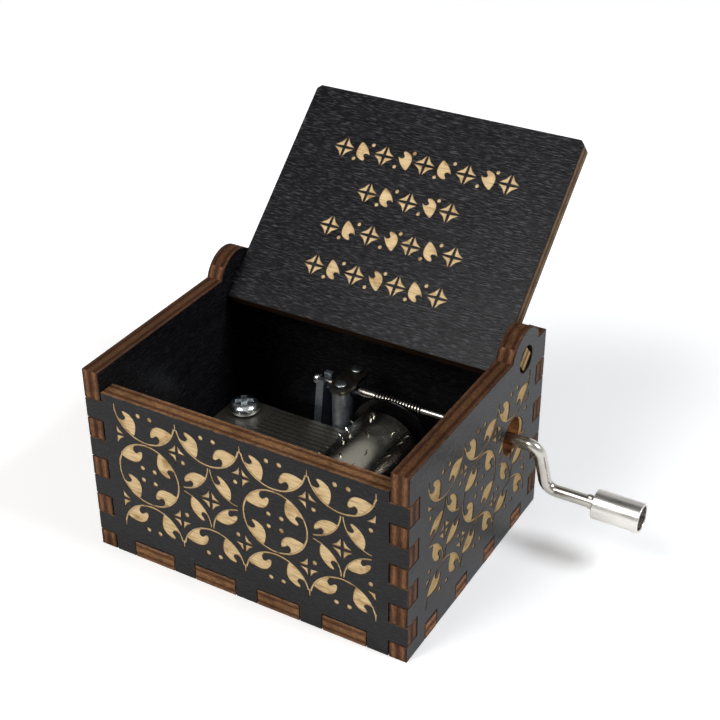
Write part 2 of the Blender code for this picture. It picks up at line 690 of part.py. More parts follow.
def drum(axle):
    """Steel tube with its pins, on two plastic caps that turn with the arbor."""
    inner = DRUM_RADIUS - DRUM_WALL
    outline = [(DRUM_RADIUS, DRUM_HALF), (DRUM_RADIUS, -DRUM_HALF),
               (inner, -DRUM_HALF), (inner, DRUM_HALF)]
    tube = profile_mesh("drum_shell", outline, closed=True)
    shell = turn(place("drum_shell", tube, steel("drum_shell"), axle), 48)
    pins = bmesh.new()
    for track, step in pin_places():
        angle = math.tau * (step + 0.5) / MELODY_STEPS
        out = Vector((math.cos(angle), math.sin(angle), 0.0))
        along = Vector((0, 0, (track - (COMB_TEETH - 1) / 2) * TOOTH_PITCH))
        add_rod(pins, out * (DRUM_RADIUS - DRUM_WALL / 2) + along, out * PIN_CIRCLE + along,
                PIN_RADIUS, segments=5)
    boolean(shell, "UNION", tool("pins", mesh_from("pins", pins), axle))

    rim = inner - JOINT_GAP
    bore = ARBOR_RADIUS + JOINT_GAP
    hub = 2 * CAP_THICKNESS
    cap_profile = [(rim, 0.0), (rim, -CAP_THICKNESS), (HUB_RADIUS, -CAP_THICKNESS),
                   (HUB_RADIUS, -hub), (bore, -hub), (bore, 0.0)]
    cap_mesh = profile_mesh("drum_cap", cap_profile, closed=True)
    finish = black_plastic("drum_cap")
    caps = (("drum_front_cap", -DRUM_HALF, math.pi), ("drum_rear_cap", DRUM_HALF, 0.0))
    for name, end, flip in caps:
        cap = turn(place(name, cap_mesh, finish, axle), 32)
        cap.location.z = end
        cap.rotation_euler.x = flip

    front = FRONT_BEARING_Y - RUN_GAP - DRUM_Y
    back = REAR_BEARING_BACK + RUN_GAP - DRUM_Y
    rod = [(0.0, back), (ARBOR_RADIUS, back), (ARBOR_RADIUS, front), (0.0, front)]
    turn(place("drum_arbor", profile_mesh("drum_arbor", rod), nickel("drum_arbor"), axle), 24)


def drive_gear(axle):
    """Worm wheel with its flange and hub, moulded in one; a tooth points straight up at rest."""
    crest = SHAFT_Z - DRUM_Z - THREAD_ROOT - MESH_GAP
    foot = SHAFT_Z - DRUM_Z - THREAD_CREST - MESH_GAP
    outline = []
    for tooth in range(GEAR_TEETH):
        middle = math.tau * tooth / GEAR_TEETH - math.pi / 2
        for radius, side in ((foot, -TOOTH_FOOT_WIDTH), (crest, -TOOTH_CREST_WIDTH),
                             (crest, TOOTH_CREST_WIDTH), (foot, TOOTH_FOOT_WIDTH)):
            angle = middle + side / 2 / radius
            outline.append((radius * math.cos(angle), radius * math.sin(angle)))
    middle = SHAFT_Y - DRUM_Y
    gear = sheet("drive_gear", outline, GEAR_WIDTH, black_plastic("drive_gear"), (0, 0, middle), axle)

    rear = REAR_BEARING_Y - RUN_GAP - DRUM_Y
    front = DRUM_HALF + JOINT_GAP
    flange_back = middle - GEAR_WIDTH / 2 - FLANGE_STANDOFF
    flange_front = flange_back - FLANGE_THICKNESS
    core = [(0.0, rear), (HUB_RADIUS, rear), (HUB_RADIUS, middle), (GEAR_WEB_RADIUS, middle),
            (GEAR_WEB_RADIUS, flange_back), (FLANGE_RADIUS, flange_back),
            (FLANGE_RADIUS, flange_front), (HUB_RADIUS, flange_front),
            (HUB_RADIUS, front), (0.0, front)]
    boolean(gear, "UNION", turn(tool("gear_core", profile_mesh("gear_core", core), axle), 48))
    bore = bmesh.new()
    add_rod(bore, (0, 0, 0), (0, 0, 2 * rear), ARBOR_RADIUS + JOINT_GAP)
    boolean(gear, "DIFFERENCE", tool("gear_bore", mesh_from("gear_bore", bore), axle))


# Crank, in the frame of the shaft: X runs out of the case, and the arm hangs towards -Z

def wire_bend(before, corner, after):
    """Arc that rounds a corner of the wire's centre line."""
    back = (before - corner).normalized()
    on = (after - corner).normalized()
    half = back.angle(on) / 2
    centre = corner + (back + on).normalized() * (BEND_RADIUS / math.sin(half))
    start = corner + back * (BEND_RADIUS / math.tan(half)) - centre
    end = corner + on * (BEND_RADIUS / math.tan(half)) - centre
    around = start.cross(end).normalized()
    sweep = start.angle(end)
    steps = 6
    return [centre + Quaternion(around, sweep * step / steps) @ start for step in range(steps + 1)]


def crank_wire():
    """Centre line and radius at each point of the wire, from its inner head to the grip's."""
    head = FORK_X - FORK_THICKNESS / 2 - RUN_GAP
    worm_start = DRUM_X - (THREAD_TURNS_INWARD + 0.5) * THREAD_PITCH
    worm_end = DRUM_X + (THREAD_TURNS_OUTWARD + 0.5) * THREAD_PITCH
    shoulder = SHAFT_RADIUS - THREAD_ROOT
    thick_from = SIDE_INNER - PLY
    stations = [(head - HEAD_LENGTH, 0.7 * HEAD_RADIUS), (head - 0.8 * HEAD_LENGTH, HEAD_RADIUS),
                (head - 0.2 * HEAD_LENGTH, HEAD_RADIUS), (head, SHAFT_RADIUS),
                (worm_start - shoulder, SHAFT_RADIUS), (worm_start, THREAD_ROOT),
                (worm_end, THREAD_ROOT), (worm_end + shoulder, SHAFT_RADIUS),
                (thick_from, SHAFT_RADIUS), (SIDE_INNER, HANDLE_RADIUS)]
    points = [(Vector((x, 0, 0)), radius) for x, radius in stations]
    corner = Vector((ARM_X, 0, 0))
    elbow = Vector((ARM_X + ARM_LEAN, 0, -THROW))
    grip = Vector((GRIP_X, 0, -THROW))
    bends = wire_bend(points[-1][0], corner, elbow) + wire_bend(corner, elbow, grip)
    points += [(point, HANDLE_RADIUS) for point in bends]
    peened = GRIP_X + SLEEVE_FLOOR + RUN_GAP
    end = peened + GRIP_HEAD_LENGTH
    for x, radius in ((peened - shoulder, HANDLE_RADIUS), (peened, GRIP_HEAD_RADIUS),
                      (end, GRIP_HEAD_RADIUS), (end + shoulder, 0.8 * GRIP_HEAD_RADIUS)):
        points.append((Vector((x, 0, -THROW)), radius))
    return points


def worm_thread():
    """One ridge wound right-handed on the shaft; right under it a gap meets the gear's top tooth."""
    turns = THREAD_TURNS_INWARD + THREAD_TURNS_OUTWARD + 1
    steps_per_turn = 12
    x = DRUM_X - (THREAD_TURNS_INWARD + 0.5) * THREAD_PITCH
    base = THREAD_ROOT - MESH_GAP
    section = ((x - THREAD_HALF_WIDTH, base), (x, THREAD_CREST), (x + THREAD_HALF_WIDTH, base))
    down = -math.pi / 2 - CRANK_TURN
    shape = bmesh.new()
    corners = [shape.verts.new((along, radius * math.cos(down), radius * math.sin(down)))
               for along, radius in section]
    edges = [shape.edges.new((corners[step], corners[step - 1])) for step in range(3)]
    bmesh.ops.spin(shape, geom=corners + edges, cent=(0, 0, 0), axis=(1, 0, 0),
                   dvec=(THREAD_PITCH / steps_per_turn, 0, 0),
                   angle=math.tau * turns, steps=steps_per_turn * turns)
    bmesh.ops.holes_fill(shape, edges=[edge for edge in shape.edges if edge.is_boundary], sides=3)
    bmesh.ops.recalc_face_normals(shape, faces=shape.faces)
    return mesh_from("worm_thread", shape)


def crank():
    """The wire with its thread and crimp, and the sleeve that turns on its grip."""
    shaft = axis_empty("crank_axis", (0, SHAFT_Y, SHAFT_Z), (CRANK_TURN, 0, 0))
    wire = bpy.data.curves.new("crank_shaft", "CURVE")
    wire.dimensions = "3D"
    wire.bevel_depth = HANDLE_RADIUS
    wire.bevel_resolution = 4
    wire.use_fill_caps = True
    points = crank_wire()
    spline = wire.splines.new("POLY")
    spline.points.add(len(points) - 1)
    for point, (centre, radius) in zip(spline.points, points):
        point.co = (*centre, 1.0)
        point.radius = radius / HANDLE_RADIUS
    body = as_mesh(place("crank_shaft", wire, nickel("crank_shaft"), shaft))
    boolean(body, "UNION", tool("worm_thread", worm_thread(), shaft))
    crimp = bmesh.new()
    edge = GRIP_X - RUN_GAP
    add_block(crimp, (edge - CRIMP_LENGTH, -CRIMP_THICKNESS / 2, -THROW - CRIMP_WIDTH / 2),
              (edge, CRIMP_THICKNESS / 2, -THROW + CRIMP_WIDTH / 2))
    boolean(body, "UNION", tool("crimp", mesh_from("crimp", crimp), shaft))

    grip = axis_empty("knob_axis", (GRIP_X, 0, -THROW), (0, math.pi / 2, 0), shaft)
    inner = SLEEVE_RADIUS - SLEEVE_WALL
    bore = HANDLE_RADIUS + RUN_GAP / 2
    ease = SLEEVE_WALL / 2
    profile = [(SLEEVE_RADIUS - ease, SLEEVE_LENGTH), (SLEEVE_RADIUS, SLEEVE_LENGTH - ease),
               (SLEEVE_RADIUS, ease), (SLEEVE_RADIUS - ease, 0.0), (bore, 0.0), (bore, SLEEVE_FLOOR),
               (inner, SLEEVE_FLOOR), (inner, SLEEVE_LENGTH)]
    turn(place("knob_sleeve", profile_mesh("knob_sleeve", profile, closed=True),
               nickel("knob_sleeve"), grip), 32)


def shade_round_pieces():
    """Smooth shading, with the sharp edges kept, on the pieces with round faces."""
    for name in ("drum_shell", "drum_arbor", "crank_shaft", "knob_sleeve"):
        mesh = bpy.data.objects[name].data
        mesh.shade_smooth()
        mesh.set_sharp_from_angle(angle=math.radians(35))


for thing in list(bpy.data.objects):
    bpy.data.objects.remove(thing, do_unlink=True)
PARTS = collection("music_box")
TOOLS = collection("cutters")

base_holes = base_screw_holes()
case(base_holes)
lid()
bedplate(base_holes)
base_screws()
comb()
comb_weights()
comb_screws()
drum_axle = axis_empty("drum_axis", (DRUM_X, DRUM_Y, DRUM_Z), (-math.pi / 2, 0, 0))
drum(drum_axle)
drive_gear(drum_axle)
crank()
retainer()
shade_round_pieces()
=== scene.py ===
"""Hand-cranked music box with its lid open, on a pale studio floor.

Metres, +Z up, front towards -Y. Each section makes one piece of the box, in the order in which
the box is put together: glued case, lid, comb movement, crank. The studio comes last.
"""

import math

import bmesh
import bpy
from mathutils import Matrix, Vector


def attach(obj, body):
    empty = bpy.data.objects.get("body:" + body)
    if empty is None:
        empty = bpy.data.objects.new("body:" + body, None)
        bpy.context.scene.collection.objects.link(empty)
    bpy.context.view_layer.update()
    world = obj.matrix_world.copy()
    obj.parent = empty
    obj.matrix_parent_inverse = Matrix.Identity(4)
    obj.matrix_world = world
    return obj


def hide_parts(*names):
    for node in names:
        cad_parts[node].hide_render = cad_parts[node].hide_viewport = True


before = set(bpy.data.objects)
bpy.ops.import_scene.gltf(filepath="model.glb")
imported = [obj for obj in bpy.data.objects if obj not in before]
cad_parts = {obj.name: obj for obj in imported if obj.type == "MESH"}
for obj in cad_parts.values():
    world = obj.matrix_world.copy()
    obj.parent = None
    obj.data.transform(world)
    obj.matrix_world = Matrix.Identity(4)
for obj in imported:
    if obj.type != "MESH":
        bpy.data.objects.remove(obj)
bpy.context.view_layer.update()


# Case sides. Two boards of laser-cut three-layer plywood, stained black on their faces only, so
# the brown laser-cut edges show the layers. The ear at the back takes the lid's pivot.

MM = 0.001
WELD = 0.000001
HALF_PLY = 1.7  # millimetres, as all that is drawn on a board or read in its own frame


def welded(solid):
    """A solid's shape with its triangles joined up and its flat faces whole again."""
    shape = bmesh.new()
    shape.from_mesh(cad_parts[solid].data)
    bmesh.ops.remove_doubles(shape, verts=shape.verts, dist=WELD)
    bmesh.ops.dissolve_limit(shape, angle_limit=math.radians(0.5), verts=shape.verts,
                             edges=shape.edges)
    return shape


def ease_edges(shape, width, segments=2, sharper=30.0):
    """Rounds the edges that are sharper than an angle in degrees."""
    limit = math.radians(sharper)
    sharp = [edge for edge in shape.edges
             if edge.is_manifold and edge.calc_face_angle() > limit]
    bmesh.ops.bevel(shape, geom=sharp, offset=width, affect="EDGES", segments=segments,
                    profile=0.5, material=-1, clamp_overlap=True)


def as_mesh(name, shape):
    """Mesh of a finished shape, which is freed."""
    mesh = bpy.data.meshes.new(name)
    shape.to_mesh(mesh)
    shape.free()
    return mesh


def settled(piece):
    """Applies a piece's modifiers to its mesh."""
    bpy.context.view_layer.update()
    graph = bpy.context.evaluated_depsgraph_get()
    mesh = bpy.data.meshes.new_from_object(piece.evaluated_get(graph))
    piece.modifiers.clear()
    piece.data = mesh


def piece_from(name, shape, finishes, smooth=None):
    """Object with its place in its mesh; round ones are shaded smooth below an angle."""
    mesh = as_mesh(name, shape)
    for finish in finishes:
        mesh.materials.append(finish)
    piece = bpy.data.objects.new(name, mesh)
    bpy.context.scene.collection.objects.link(piece)
    if smooth:
        mesh.shade_smooth()
        mesh.set_sharp_from_angle(angle=math.radians(smooth))
        even = piece.modifiers.new("even_shading", "WEIGHTED_NORMAL")
        even.keep_sharp = True
        settled(piece)
    else:
        mesh.shade_flat()
    return piece


def stand_in(piece, body, slot, *nodes):
    """The piece rides on a body in place of its solids, which are hidden; the slot is not used."""
    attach(piece, body)
    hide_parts(*nodes)


def new_finish(name):
    """Material with its nodes, its links and its shader."""
    finish = bpy.data.materials.new(name)
    finish.use_nodes = True
    tree = finish.node_tree
    return finish, tree, tree.nodes["Principled BSDF"]


def node(tree, kind, settings=None, links=None):
    """Shader node; settings and links go to its sockets by name or number."""
    made = tree.nodes.new("ShaderNode" + kind)
    for key, value in (settings or {}).items():
        if isinstance(key, str) and hasattr(made, key):
            setattr(made, key, value)
        else:
            made.inputs[key].default_value = value
    for key, source in (links or {}).items():
        tree.links.new(source, made.inputs[key])
    return made


def ramp(tree, source, stops):
    """Colour ramp over stops of (place, colour)."""
    made = node(tree, "ValToRGB", links={0: source})
    elements = made.color_ramp.elements
    while len(elements) < len(stops):
        elements.new(0.5)
    for element, (place, colour) in zip(elements, stops):
        element.position = place
        element.color = (*colour, 1.0)
    return made.outputs["Color"]


def blend(tree, mode, factor, first, second):
    """Two colours multiplied or added, the second by a plain factor."""
    colour_a, colour_b, colour_out = 6, 7, 2
    made = node(tree, "Mix", {"data_type": "RGBA", "blend_type": mode, 0: factor},
                {colour_a: first, colour_b: second})
    return made.outputs[colour_out]


def calculate(tree, operation, *values):
    """Math node over sockets and plain numbers."""
    made = node(tree, "Math", {"operation": operation})
    for place, value in enumerate(values):
        if isinstance(value, (int, float)):
            made.inputs[place].default_value = value
        else:
            tree.links.new(value, made.inputs[place])
    return made.outputs[0]


def remap(tree, value, low, high, new_low, new_high):
    """A value brought from one range to another and kept inside it."""
    return node(tree, "MapRange", {"From Min": low, "From Max": high, "To Min": new_low,
                                   "To Max": new_high}, {"Value": value}).outputs[0]


def emboss(tree, shader, height, strength, distance):
    """Bumps on a finish that follow a height."""
    relief = node(tree, "Bump", {"Strength": strength, "Distance": distance}, {"Height": height})
    tree.links.new(relief.outputs[0], shader.inputs["Normal"])


def toned(stops, tone):
    """Stops of (place, colour) with every colour multiplied by a tone."""
    return [(place, tuple(channel * part for channel, part in zip(colour, tone)))
            for place, colour in stops]


def grain(tree, place, stretch, detail=4.0, roughness=0.55):
    """Noise in a board's own millimetres, stretched along the board's three directions."""
    laid = node(tree, "Mapping", {"Scale": stretch}, {"Vector": place})
    return node(tree, "TexNoise", {"Scale": 1.0, "Detail": detail, "Roughness": roughness},
                {"Vector": laid.outputs[0]}).outputs[0]


def board_axes(across, up, centre):
    """Place of a board: its length, its height and its outward thickness."""
    across, up = Vector(across), Vector(up)
    turn = Matrix((across, up, across.cross(up))).transposed().to_4x4()
    return Matrix.Translation(centre) @ turn


def board_millimetres(tree, axes):
    """Object coordinates turned into a board's own frame, in millimetres."""
    return node(tree, "Mapping", {"vector_type": "TEXTURE", "Location": axes.to_translation(),
                                  "Rotation": axes.to_euler(), "Scale": (MM, MM, MM)},
                {"Vector": node(tree, "TexCoord").outputs["Object"]}).outputs[0]


def stained_face(name, axes, flecks, gloss):
    """Black stain over grain that runs along the board; paler flecks stand for raised fibres and,
    in part, for painted glints off the grain.
    """
    finish, tree, shader = new_finish(name)
    place = board_millimetres(tree, axes)
    fibres = grain(tree, place, (0.55, 4.2, 4.2), 3.0, 0.6)
    pores = grain(tree, place, (0.8, 8.0, 8.0), 2.0)
    broad = grain(tree, place, (0.06, 0.45, 0.45), 3.0)
    stain = ramp(tree, broad, ((0.3, (0.0056, 0.0056, 0.0064)), (0.7, (0.0098, 0.0096, 0.0104))))
    sunk = ramp(tree, pores, ((0.36, (0.45, 0.45, 0.45)), (0.52, (1.0, 1.0, 1.0))))
    # Paler flecks added to the colour: raised fibres, and a painted highlight standing in for
    # glints off the grain.
    raised = ramp(tree, fibres, ((0.50, (0.0, 0.0, 0.0)), (0.58, (0.010, 0.010, 0.012)),
                                 (0.70, (0.056, 0.055, 0.060))))
    stained = blend(tree, "MULTIPLY", 1.0, stain, sunk)
    tree.links.new(blend(tree, "ADD", flecks, stained, raised), shader.inputs["Base Color"])
    tree.links.new(remap(tree, fibres, 0.35, 0.7, 0.22, 0.32), shader.inputs["Roughness"])
    shader.inputs["Specular IOR Level"].default_value = gloss
    emboss(tree, shader, fibres, 0.20 + 0.60 * flecks, 0.00007)
    return finish


# The layers' colours along the board and across its ends, from its middle out to its face.
LONG_EDGE = ((0.00, (0.175, 0.090, 0.040)), (0.24, (0.165, 0.082, 0.035)),
             (0.42, (0.066, 0.027, 0.011)), (0.56, (0.072, 0.030, 0.013)),
             (0.72, (0.130, 0.062, 0.028)), (0.86, (0.172, 0.093, 0.047)),
             (0.95, (0.150, 0.086, 0.048)), (1.00, (0.050, 0.031, 0.023)))
END_EDGE = ((0.00, (0.046, 0.020, 0.011)), (0.16, (0.060, 0.027, 0.015)),
            (0.34, (0.124, 0.061, 0.033)), (0.56, (0.175, 0.090, 0.049)),
            (0.70, (0.120, 0.058, 0.032)), (0.86, (0.050, 0.023, 0.014)),
            (1.00, (0.022, 0.012, 0.010)))


def cut_edge(name, axes, layers, tone):
    """Laser-cut edge: layers by their depth in the board, streaked and charred in patches."""
    finish, tree, shader = new_finish(name)
    place = board_millimetres(tree, axes)
    depth = calculate(tree, "ABSOLUTE", node(tree, "SeparateXYZ", links={0: place}).outputs[2])
    wander = calculate(tree, "SUBTRACT", grain(tree, place, (0.5, 0.5, 1.2), 3.0), 0.5)
    wavy_depth = calculate(tree, "MULTIPLY_ADD", wander, 0.32, depth)
    wood = ramp(tree, calculate(tree, "DIVIDE", wavy_depth, HALF_PLY), toned(layers, tone))
    streaks = grain(tree, place, (1.1, 1.1, 5.0), 4.0, 0.65)
    streaked = ramp(tree, streaks, ((0.32, (0.45, 0.42, 0.40)), (0.50, (1.0, 1.0, 1.0)),
                                    (0.68, (1.65, 1.62, 1.56))))
    char = grain(tree, place, (0.25, 0.25, 0.25), 4.0)
    charred = ramp(tree, char, ((0.30, (0.60, 0.55, 0.52)), (0.52, (1.0, 1.0, 1.0)),
                                (0.75, (1.20, 1.20, 1.18))))
    layered = blend(tree, "MULTIPLY", 1.0, wood, streaked)
    tree.links.new(blend(tree, "MULTIPLY", 1.0, layered, charred), shader.inputs["Base Color"])
    shader.inputs["Roughness"].default_value = 0.75
    shader.inputs["Specular IOR Level"].default_value = 0.12
    emboss(tree, shader, streaks, 0.3, 0.00005)
    return finish


def ply_board(name, solid, axes, tone, end_tone, flecks=0.22, gloss=0.15, eased=0.00008,
              patches=()):
    """Board with stained faces and laser-cut edges; patches of cut edge may have own finishes."""
    stained, edge, end, first_patch = range(4)
    shape = welded(solid)
    ease_edges(shape, eased)
    turn = axes.to_3x3()
    for face in shape.faces:
        facing = face.normal @ turn
        if abs(facing.z) > 0.99:
            face.material_index = stained
            continue
        face.material_index = end if abs(facing.x) > 0.7 else edge
        for number, (_, covers) in enumerate(patches):
            if covers(face.calc_center_median()):
                face.material_index = first_patch + number
    return piece_from(name, shape, [
        stained_face(f"{name}_stain", axes, flecks, gloss),
        cut_edge(f"{name}_edge", axes, LONG_EDGE, tone),
        cut_edge(f"{name}_end", axes, END_EDGE, end_tone), *(finish for finish, _ in patches)])


RIM = 0.085
WALL, TOASTED = 1, 2  # finishes of a cut's walls and of its floor's rim; the floor's is 0


def draw_arc(flat, centre, start, sweep, radius, width):
    """Flat band round a centre, over a sweep in degrees, toasted along both rims."""
    out = Matrix.Rotation(math.radians(start), 3, "Z") @ Vector((1, 0, 0))
    middle = Vector((*centre, 0))
    ends = [flat.verts.new(middle + out * (radius - inwards))
            for inwards in (width, width - RIM, RIM, 0)]
    edges = [flat.edges.new(pair) for pair in zip(ends, ends[1:])]
    bmesh.ops.spin(flat, geom=ends + edges, cent=middle, axis=(0, 0, 1),
                   angle=math.radians(sweep), steps=max(4, round(sweep / 6)),
                   use_merge=sweep >= 360)
    for face in flat.faces:
        away = (face.calc_center_median() - middle).length
        if len(face.verts) == 4 and (abs(away - radius + width) < RIM or abs(away - radius) < RIM):
            face.material_index = TOASTED


def toast_rim(flat, faces, width=RIM):
    """Sets a rim apart inside some faces, for the toasted finish."""
    flat.normal_update()
    for face in bmesh.ops.inset_region(flat, faces=faces, thickness=width, use_boundary=True,
                                       use_even_offset=True)["faces"]:
        face.material_index = TOASTED


def outline_mesh(name, points, round_off=0):
    """Flat face through points, its corners rounded off by smoothing."""
    shape = bmesh.new()
    shape.faces.new([shape.verts.new((x, y, 0)) for x, y in points])
    if round_off:
        bmesh.ops.subdivide_edges(shape, edges=shape.edges[:], cuts=2)
        for _ in range(round_off):
            bmesh.ops.smooth_vert(shape, verts=shape.verts[:], factor=0.5,
                                  use_axis_x=True, use_axis_y=True, use_axis_z=True)
    toast_rim(shape, shape.faces[:])
    return as_mesh(name, shape)


def add_copy(shape, mesh, place):
    """Copy of a mesh added to a shape at a place."""
    placed = mesh.copy()
    placed.transform(place)
    shape.from_mesh(placed)
    bpy.data.meshes.remove(placed)


def quarter_place(centre, quarter, size=1.0):
    """Place of a figure that is drawn for the first quarter round a centre."""
    turn = Matrix.Rotation(quarter * math.pi / 2, 4, "Z")
    return Matrix.Translation((*centre, 0)) @ turn @ Matrix.Scale(size, 4)


def draw_dot(flat, centre, radius):
    """Round dot."""
    ring = bmesh.ops.create_circle(flat, cap_ends=True, segments=12, radius=radius,
                                   matrix=Matrix.Translation((*centre, 0)))["verts"]
    toast_rim(flat, list(ring[0].link_faces))


# The scroll's leaf, four-pointed star and stem; the leaf lies inside a ring round the origin.
LEAF = ((2.50, 5.85), (2.15, 5.0), (1.95, 4.0), (1.9, 3.1), (2.15, 2.2), (2.8, 1.5), (3.7, 1.05),
        (4.6, 0.95), (4.85, 1.35), (4.45, 1.95), (4.05, 2.3), (4.35, 2.85), (5.1, 2.95),
        (5.85, 2.35), (5.5, 3.15), (4.9, 4.0), (4.1, 4.8), (3.3, 5.4))
PETAL = outline_mesh("petal", ((0.27, 0.27), (2.20, 0.15), (0.98, 0.98), (0.15, 2.20)))
STEM = outline_mesh("stem", ((-0.22, 0.0), (0.22, 0.0), (0.13, 1.6), (-0.13, 1.6)))
FULL_LEAF = outline_mesh("full_leaf", LEAF, 2)
NEARER_RING = 0.16
RING_INSIDE = 6.3
SLIM_LEAF = outline_mesh("slim_leaf", [
    Vector(point) * (1 + NEARER_RING * (RING_INSIDE / Vector(point).length - 1))
    for point in LEAF], 2)


def scroll_panel(columns, middle):
    """Drawings of a panel of leafy rings: outer rows of arcs, middle row of rings, and leaves.

    Circles and four-pointed stars take turns in the middle row; columns says which comes where.
    """
    pitch, low, high = 13.05, 6.5, 33.1
    centre_y = (low + high) / 2
    arc_start, arc_sweep, arc_radius, arc_width = 10.5, 159, 6.6, 0.42
    ring_radius, ring_width = 6.56, 0.44
    point_sweep, point_radius, point_width = 80, 6.5, 0.38
    point_reach, petal_reach, petal_size, star_drop = 6.65, 7.0, 0.95, 0.4
    stem_drop, end_inset = 1.55, 0.2
    dot, small_dot, dots_aside, dots_under, dots_over = 0.52, 0.5, 1.25, 1.05, 0.95
    corners = ((-1, -1, 0, 2), (1, -1, 1, 8), (1, 1, 2, 2), (-1, 1, 3, 8))
    outward = {(1, 1): 0, (-1, 1): 1, (-1, -1): 2, (1, -1): 3}
    rows, rings, leaves = bmesh.new(), bmesh.new(), bmesh.new()
    places = [middle + (number - (len(columns) - 1) / 2) * pitch for number in range(len(columns))]
    for x, kind in zip(places, columns):
        draw_arc(rows, (x, high), arc_start + 180, arc_sweep, arc_radius, arc_width)
        draw_arc(rows, (x, low), arc_start, arc_sweep, arc_radius, arc_width)
        for quarter in range(4):
            add_copy(leaves, FULL_LEAF, quarter_place((x, low if quarter < 2 else high), quarter))
        for side in (-1, 1):
            draw_dot(leaves, (x + side * dots_aside, high - dots_under), dot)
            draw_dot(leaves, (x + side * dots_aside, low + dots_over), dot)
        if kind == "circle":
            draw_arc(rings, (x, centre_y), 0, 360, ring_radius, ring_width)
            for quarter in range(4):
                add_copy(leaves, FULL_LEAF, quarter_place((x, centre_y), quarter))
                aside = Matrix.Rotation(quarter * math.pi / 2, 2) @ Vector((1.3, 1.25))
                draw_dot(leaves, (x + aside.x, centre_y + aside.y), dot)
        else:
            for side, above, quarter, trim in corners:
                corner = (x + side * pitch / 2, centre_y + above * point_reach)
                draw_arc(rings, corner, quarter * 90 + trim, point_sweep, point_radius,
                         point_width)
                add_copy(leaves, SLIM_LEAF, quarter_place(corner, quarter))
            for quarter in range(4):
                add_copy(leaves, PETAL, quarter_place((x, centre_y - star_drop), quarter))
    for number in range(len(columns) + 1):
        x = middle + (number - len(columns) / 2) * pitch
        stem_x = x + end_inset * ((number == 0) - (number == len(columns)))
        add_copy(rings, STEM, Matrix.Translation((stem_x, high - stem_drop, 0)))
        add_copy(rings, STEM, quarter_place((stem_x, low + stem_drop), 2))
        for above in (-1, 1):
            y = centre_y + above * petal_reach
            for side in (-1, 1):
                column = number - (side < 0)
                if not 0 <= column < len(columns):
                    continue
                quarter = outward[side, above]
                add_copy(leaves, PETAL, quarter_place((x, y), quarter, petal_size))
                if columns[column] == "circle":
                    quarter = outward[side, -above]
                    add_copy(leaves, PETAL, quarter_place((x, y), quarter, petal_size))
                else:
                    draw_dot(leaves, (x + side * 1.15, y - above * 1.4), small_dot)
    return rows, rings, leaves


def pale_ply(name, axes, tone=(1.0, 1.0, 1.0)):
    """Bare wood where the laser took the stain off, with faint grain and toasted patches."""
    finish, tree, shader = new_finish(name)
    place = board_millimetres(tree, axes)
    lines = grain(tree, place, (0.30, 3.2, 3.2), 4.0)
    patches = grain(tree, place, (0.30, 0.45, 0.45), 3.0)
    wood = ramp(tree, lines, toned(((0.30, (0.42, 0.285, 0.130)), (0.48, (0.62, 0.455, 0.245)),
                                    (0.68, (0.72, 0.56, 0.335))), tone))
    toast = ramp(tree, patches, ((0.30, (0.58, 0.47, 0.34)), (0.46, (1.0, 0.98, 0.95)),
                                 (0.75, (1.06, 1.05, 1.04))))
    tree.links.new(blend(tree, "MULTIPLY", 1.0, wood, toast), shader.inputs["Base Color"])
    shader.inputs["Roughness"].default_value = 0.8
    shader.inputs["Specular IOR Level"].default_value = 0.2
    emboss(tree, shader, lines, 0.4, 0.00005)
    return finish


def scorched(name, dark, light):
    """Wood toasted by the laser, in patches."""
    finish, tree, shader = new_finish(name)
    place = node(tree, "TexCoord").outputs["Object"]
    patches = node(tree, "TexNoise", {"Scale": 700.0, "Detail": 4.0}, {"Vector": place}).outputs[0]
    tree.links.new(ramp(tree, patches, ((0.35, dark), (0.65, light))), shader.inputs["Base Color"])
    shader.inputs["Roughness"].default_value = 0.8
    shader.inputs["Specular IOR Level"].default_value = 0.2
    return finish


def subtract(piece, shape, finishes, careful):
    """Cuts a shape out of a piece; what the cut lays bare has the shape's own finishes."""
    cutter = piece_from("cutter", shape, finishes)
    cut = piece.modifiers.new("cut", "BOOLEAN")
    cut.operation = "DIFFERENCE"
    cut.solver = "EXACT"
    cut.use_self = careful
    cut.material_mode = "TRANSFER"
    cut.object = cutter
    settled(piece)
    bpy.data.objects.remove(cutter, do_unlink=True)


def of_kind(kind, items):
    """The items of one kind, such as corners, among those that an operator made."""
    return [item for item in items if isinstance(item, kind)]


def engrave(piece, axes, drawings, bare, careful=False):
    """Sinks flat drawings, in a board's millimetres, into its outer face.

    Each drawing goes a little deeper than the one before, so that no two floors coincide.
    """
    first_depth, deeper, proud = 0.13, 0.02, 0.3
    for number, flat in enumerate(drawings):
        depth = first_depth + deeper * number
        bmesh.ops.remove_doubles(flat, verts=flat.verts, dist=0.001)
        raised = bmesh.ops.extrude_face_region(flat, geom=flat.faces[:])["geom"]
        bmesh.ops.translate(flat, vec=(0, 0, depth + proud),
                            verts=of_kind(bmesh.types.BMVert, raised))
        bmesh.ops.translate(flat, vec=(0, 0, HALF_PLY - depth), verts=flat.verts)
        bmesh.ops.recalc_face_normals(flat, faces=flat.faces)
        for face in flat.faces:
            if abs(face.normal.z) < 0.5:
                face.material_index = WALL
        flat.transform(axes @ Matrix.Diagonal((MM, MM, MM, 1)))
        subtract(piece, flat, [bare, burnt_wall, toasted_rim], careful)


def within(middle, radius):
    """Test for points within a radius of a line along X, in millimetres."""
    return lambda point: math.hypot(point.y / MM - middle[0], point.z / MM - middle[1]) < radius


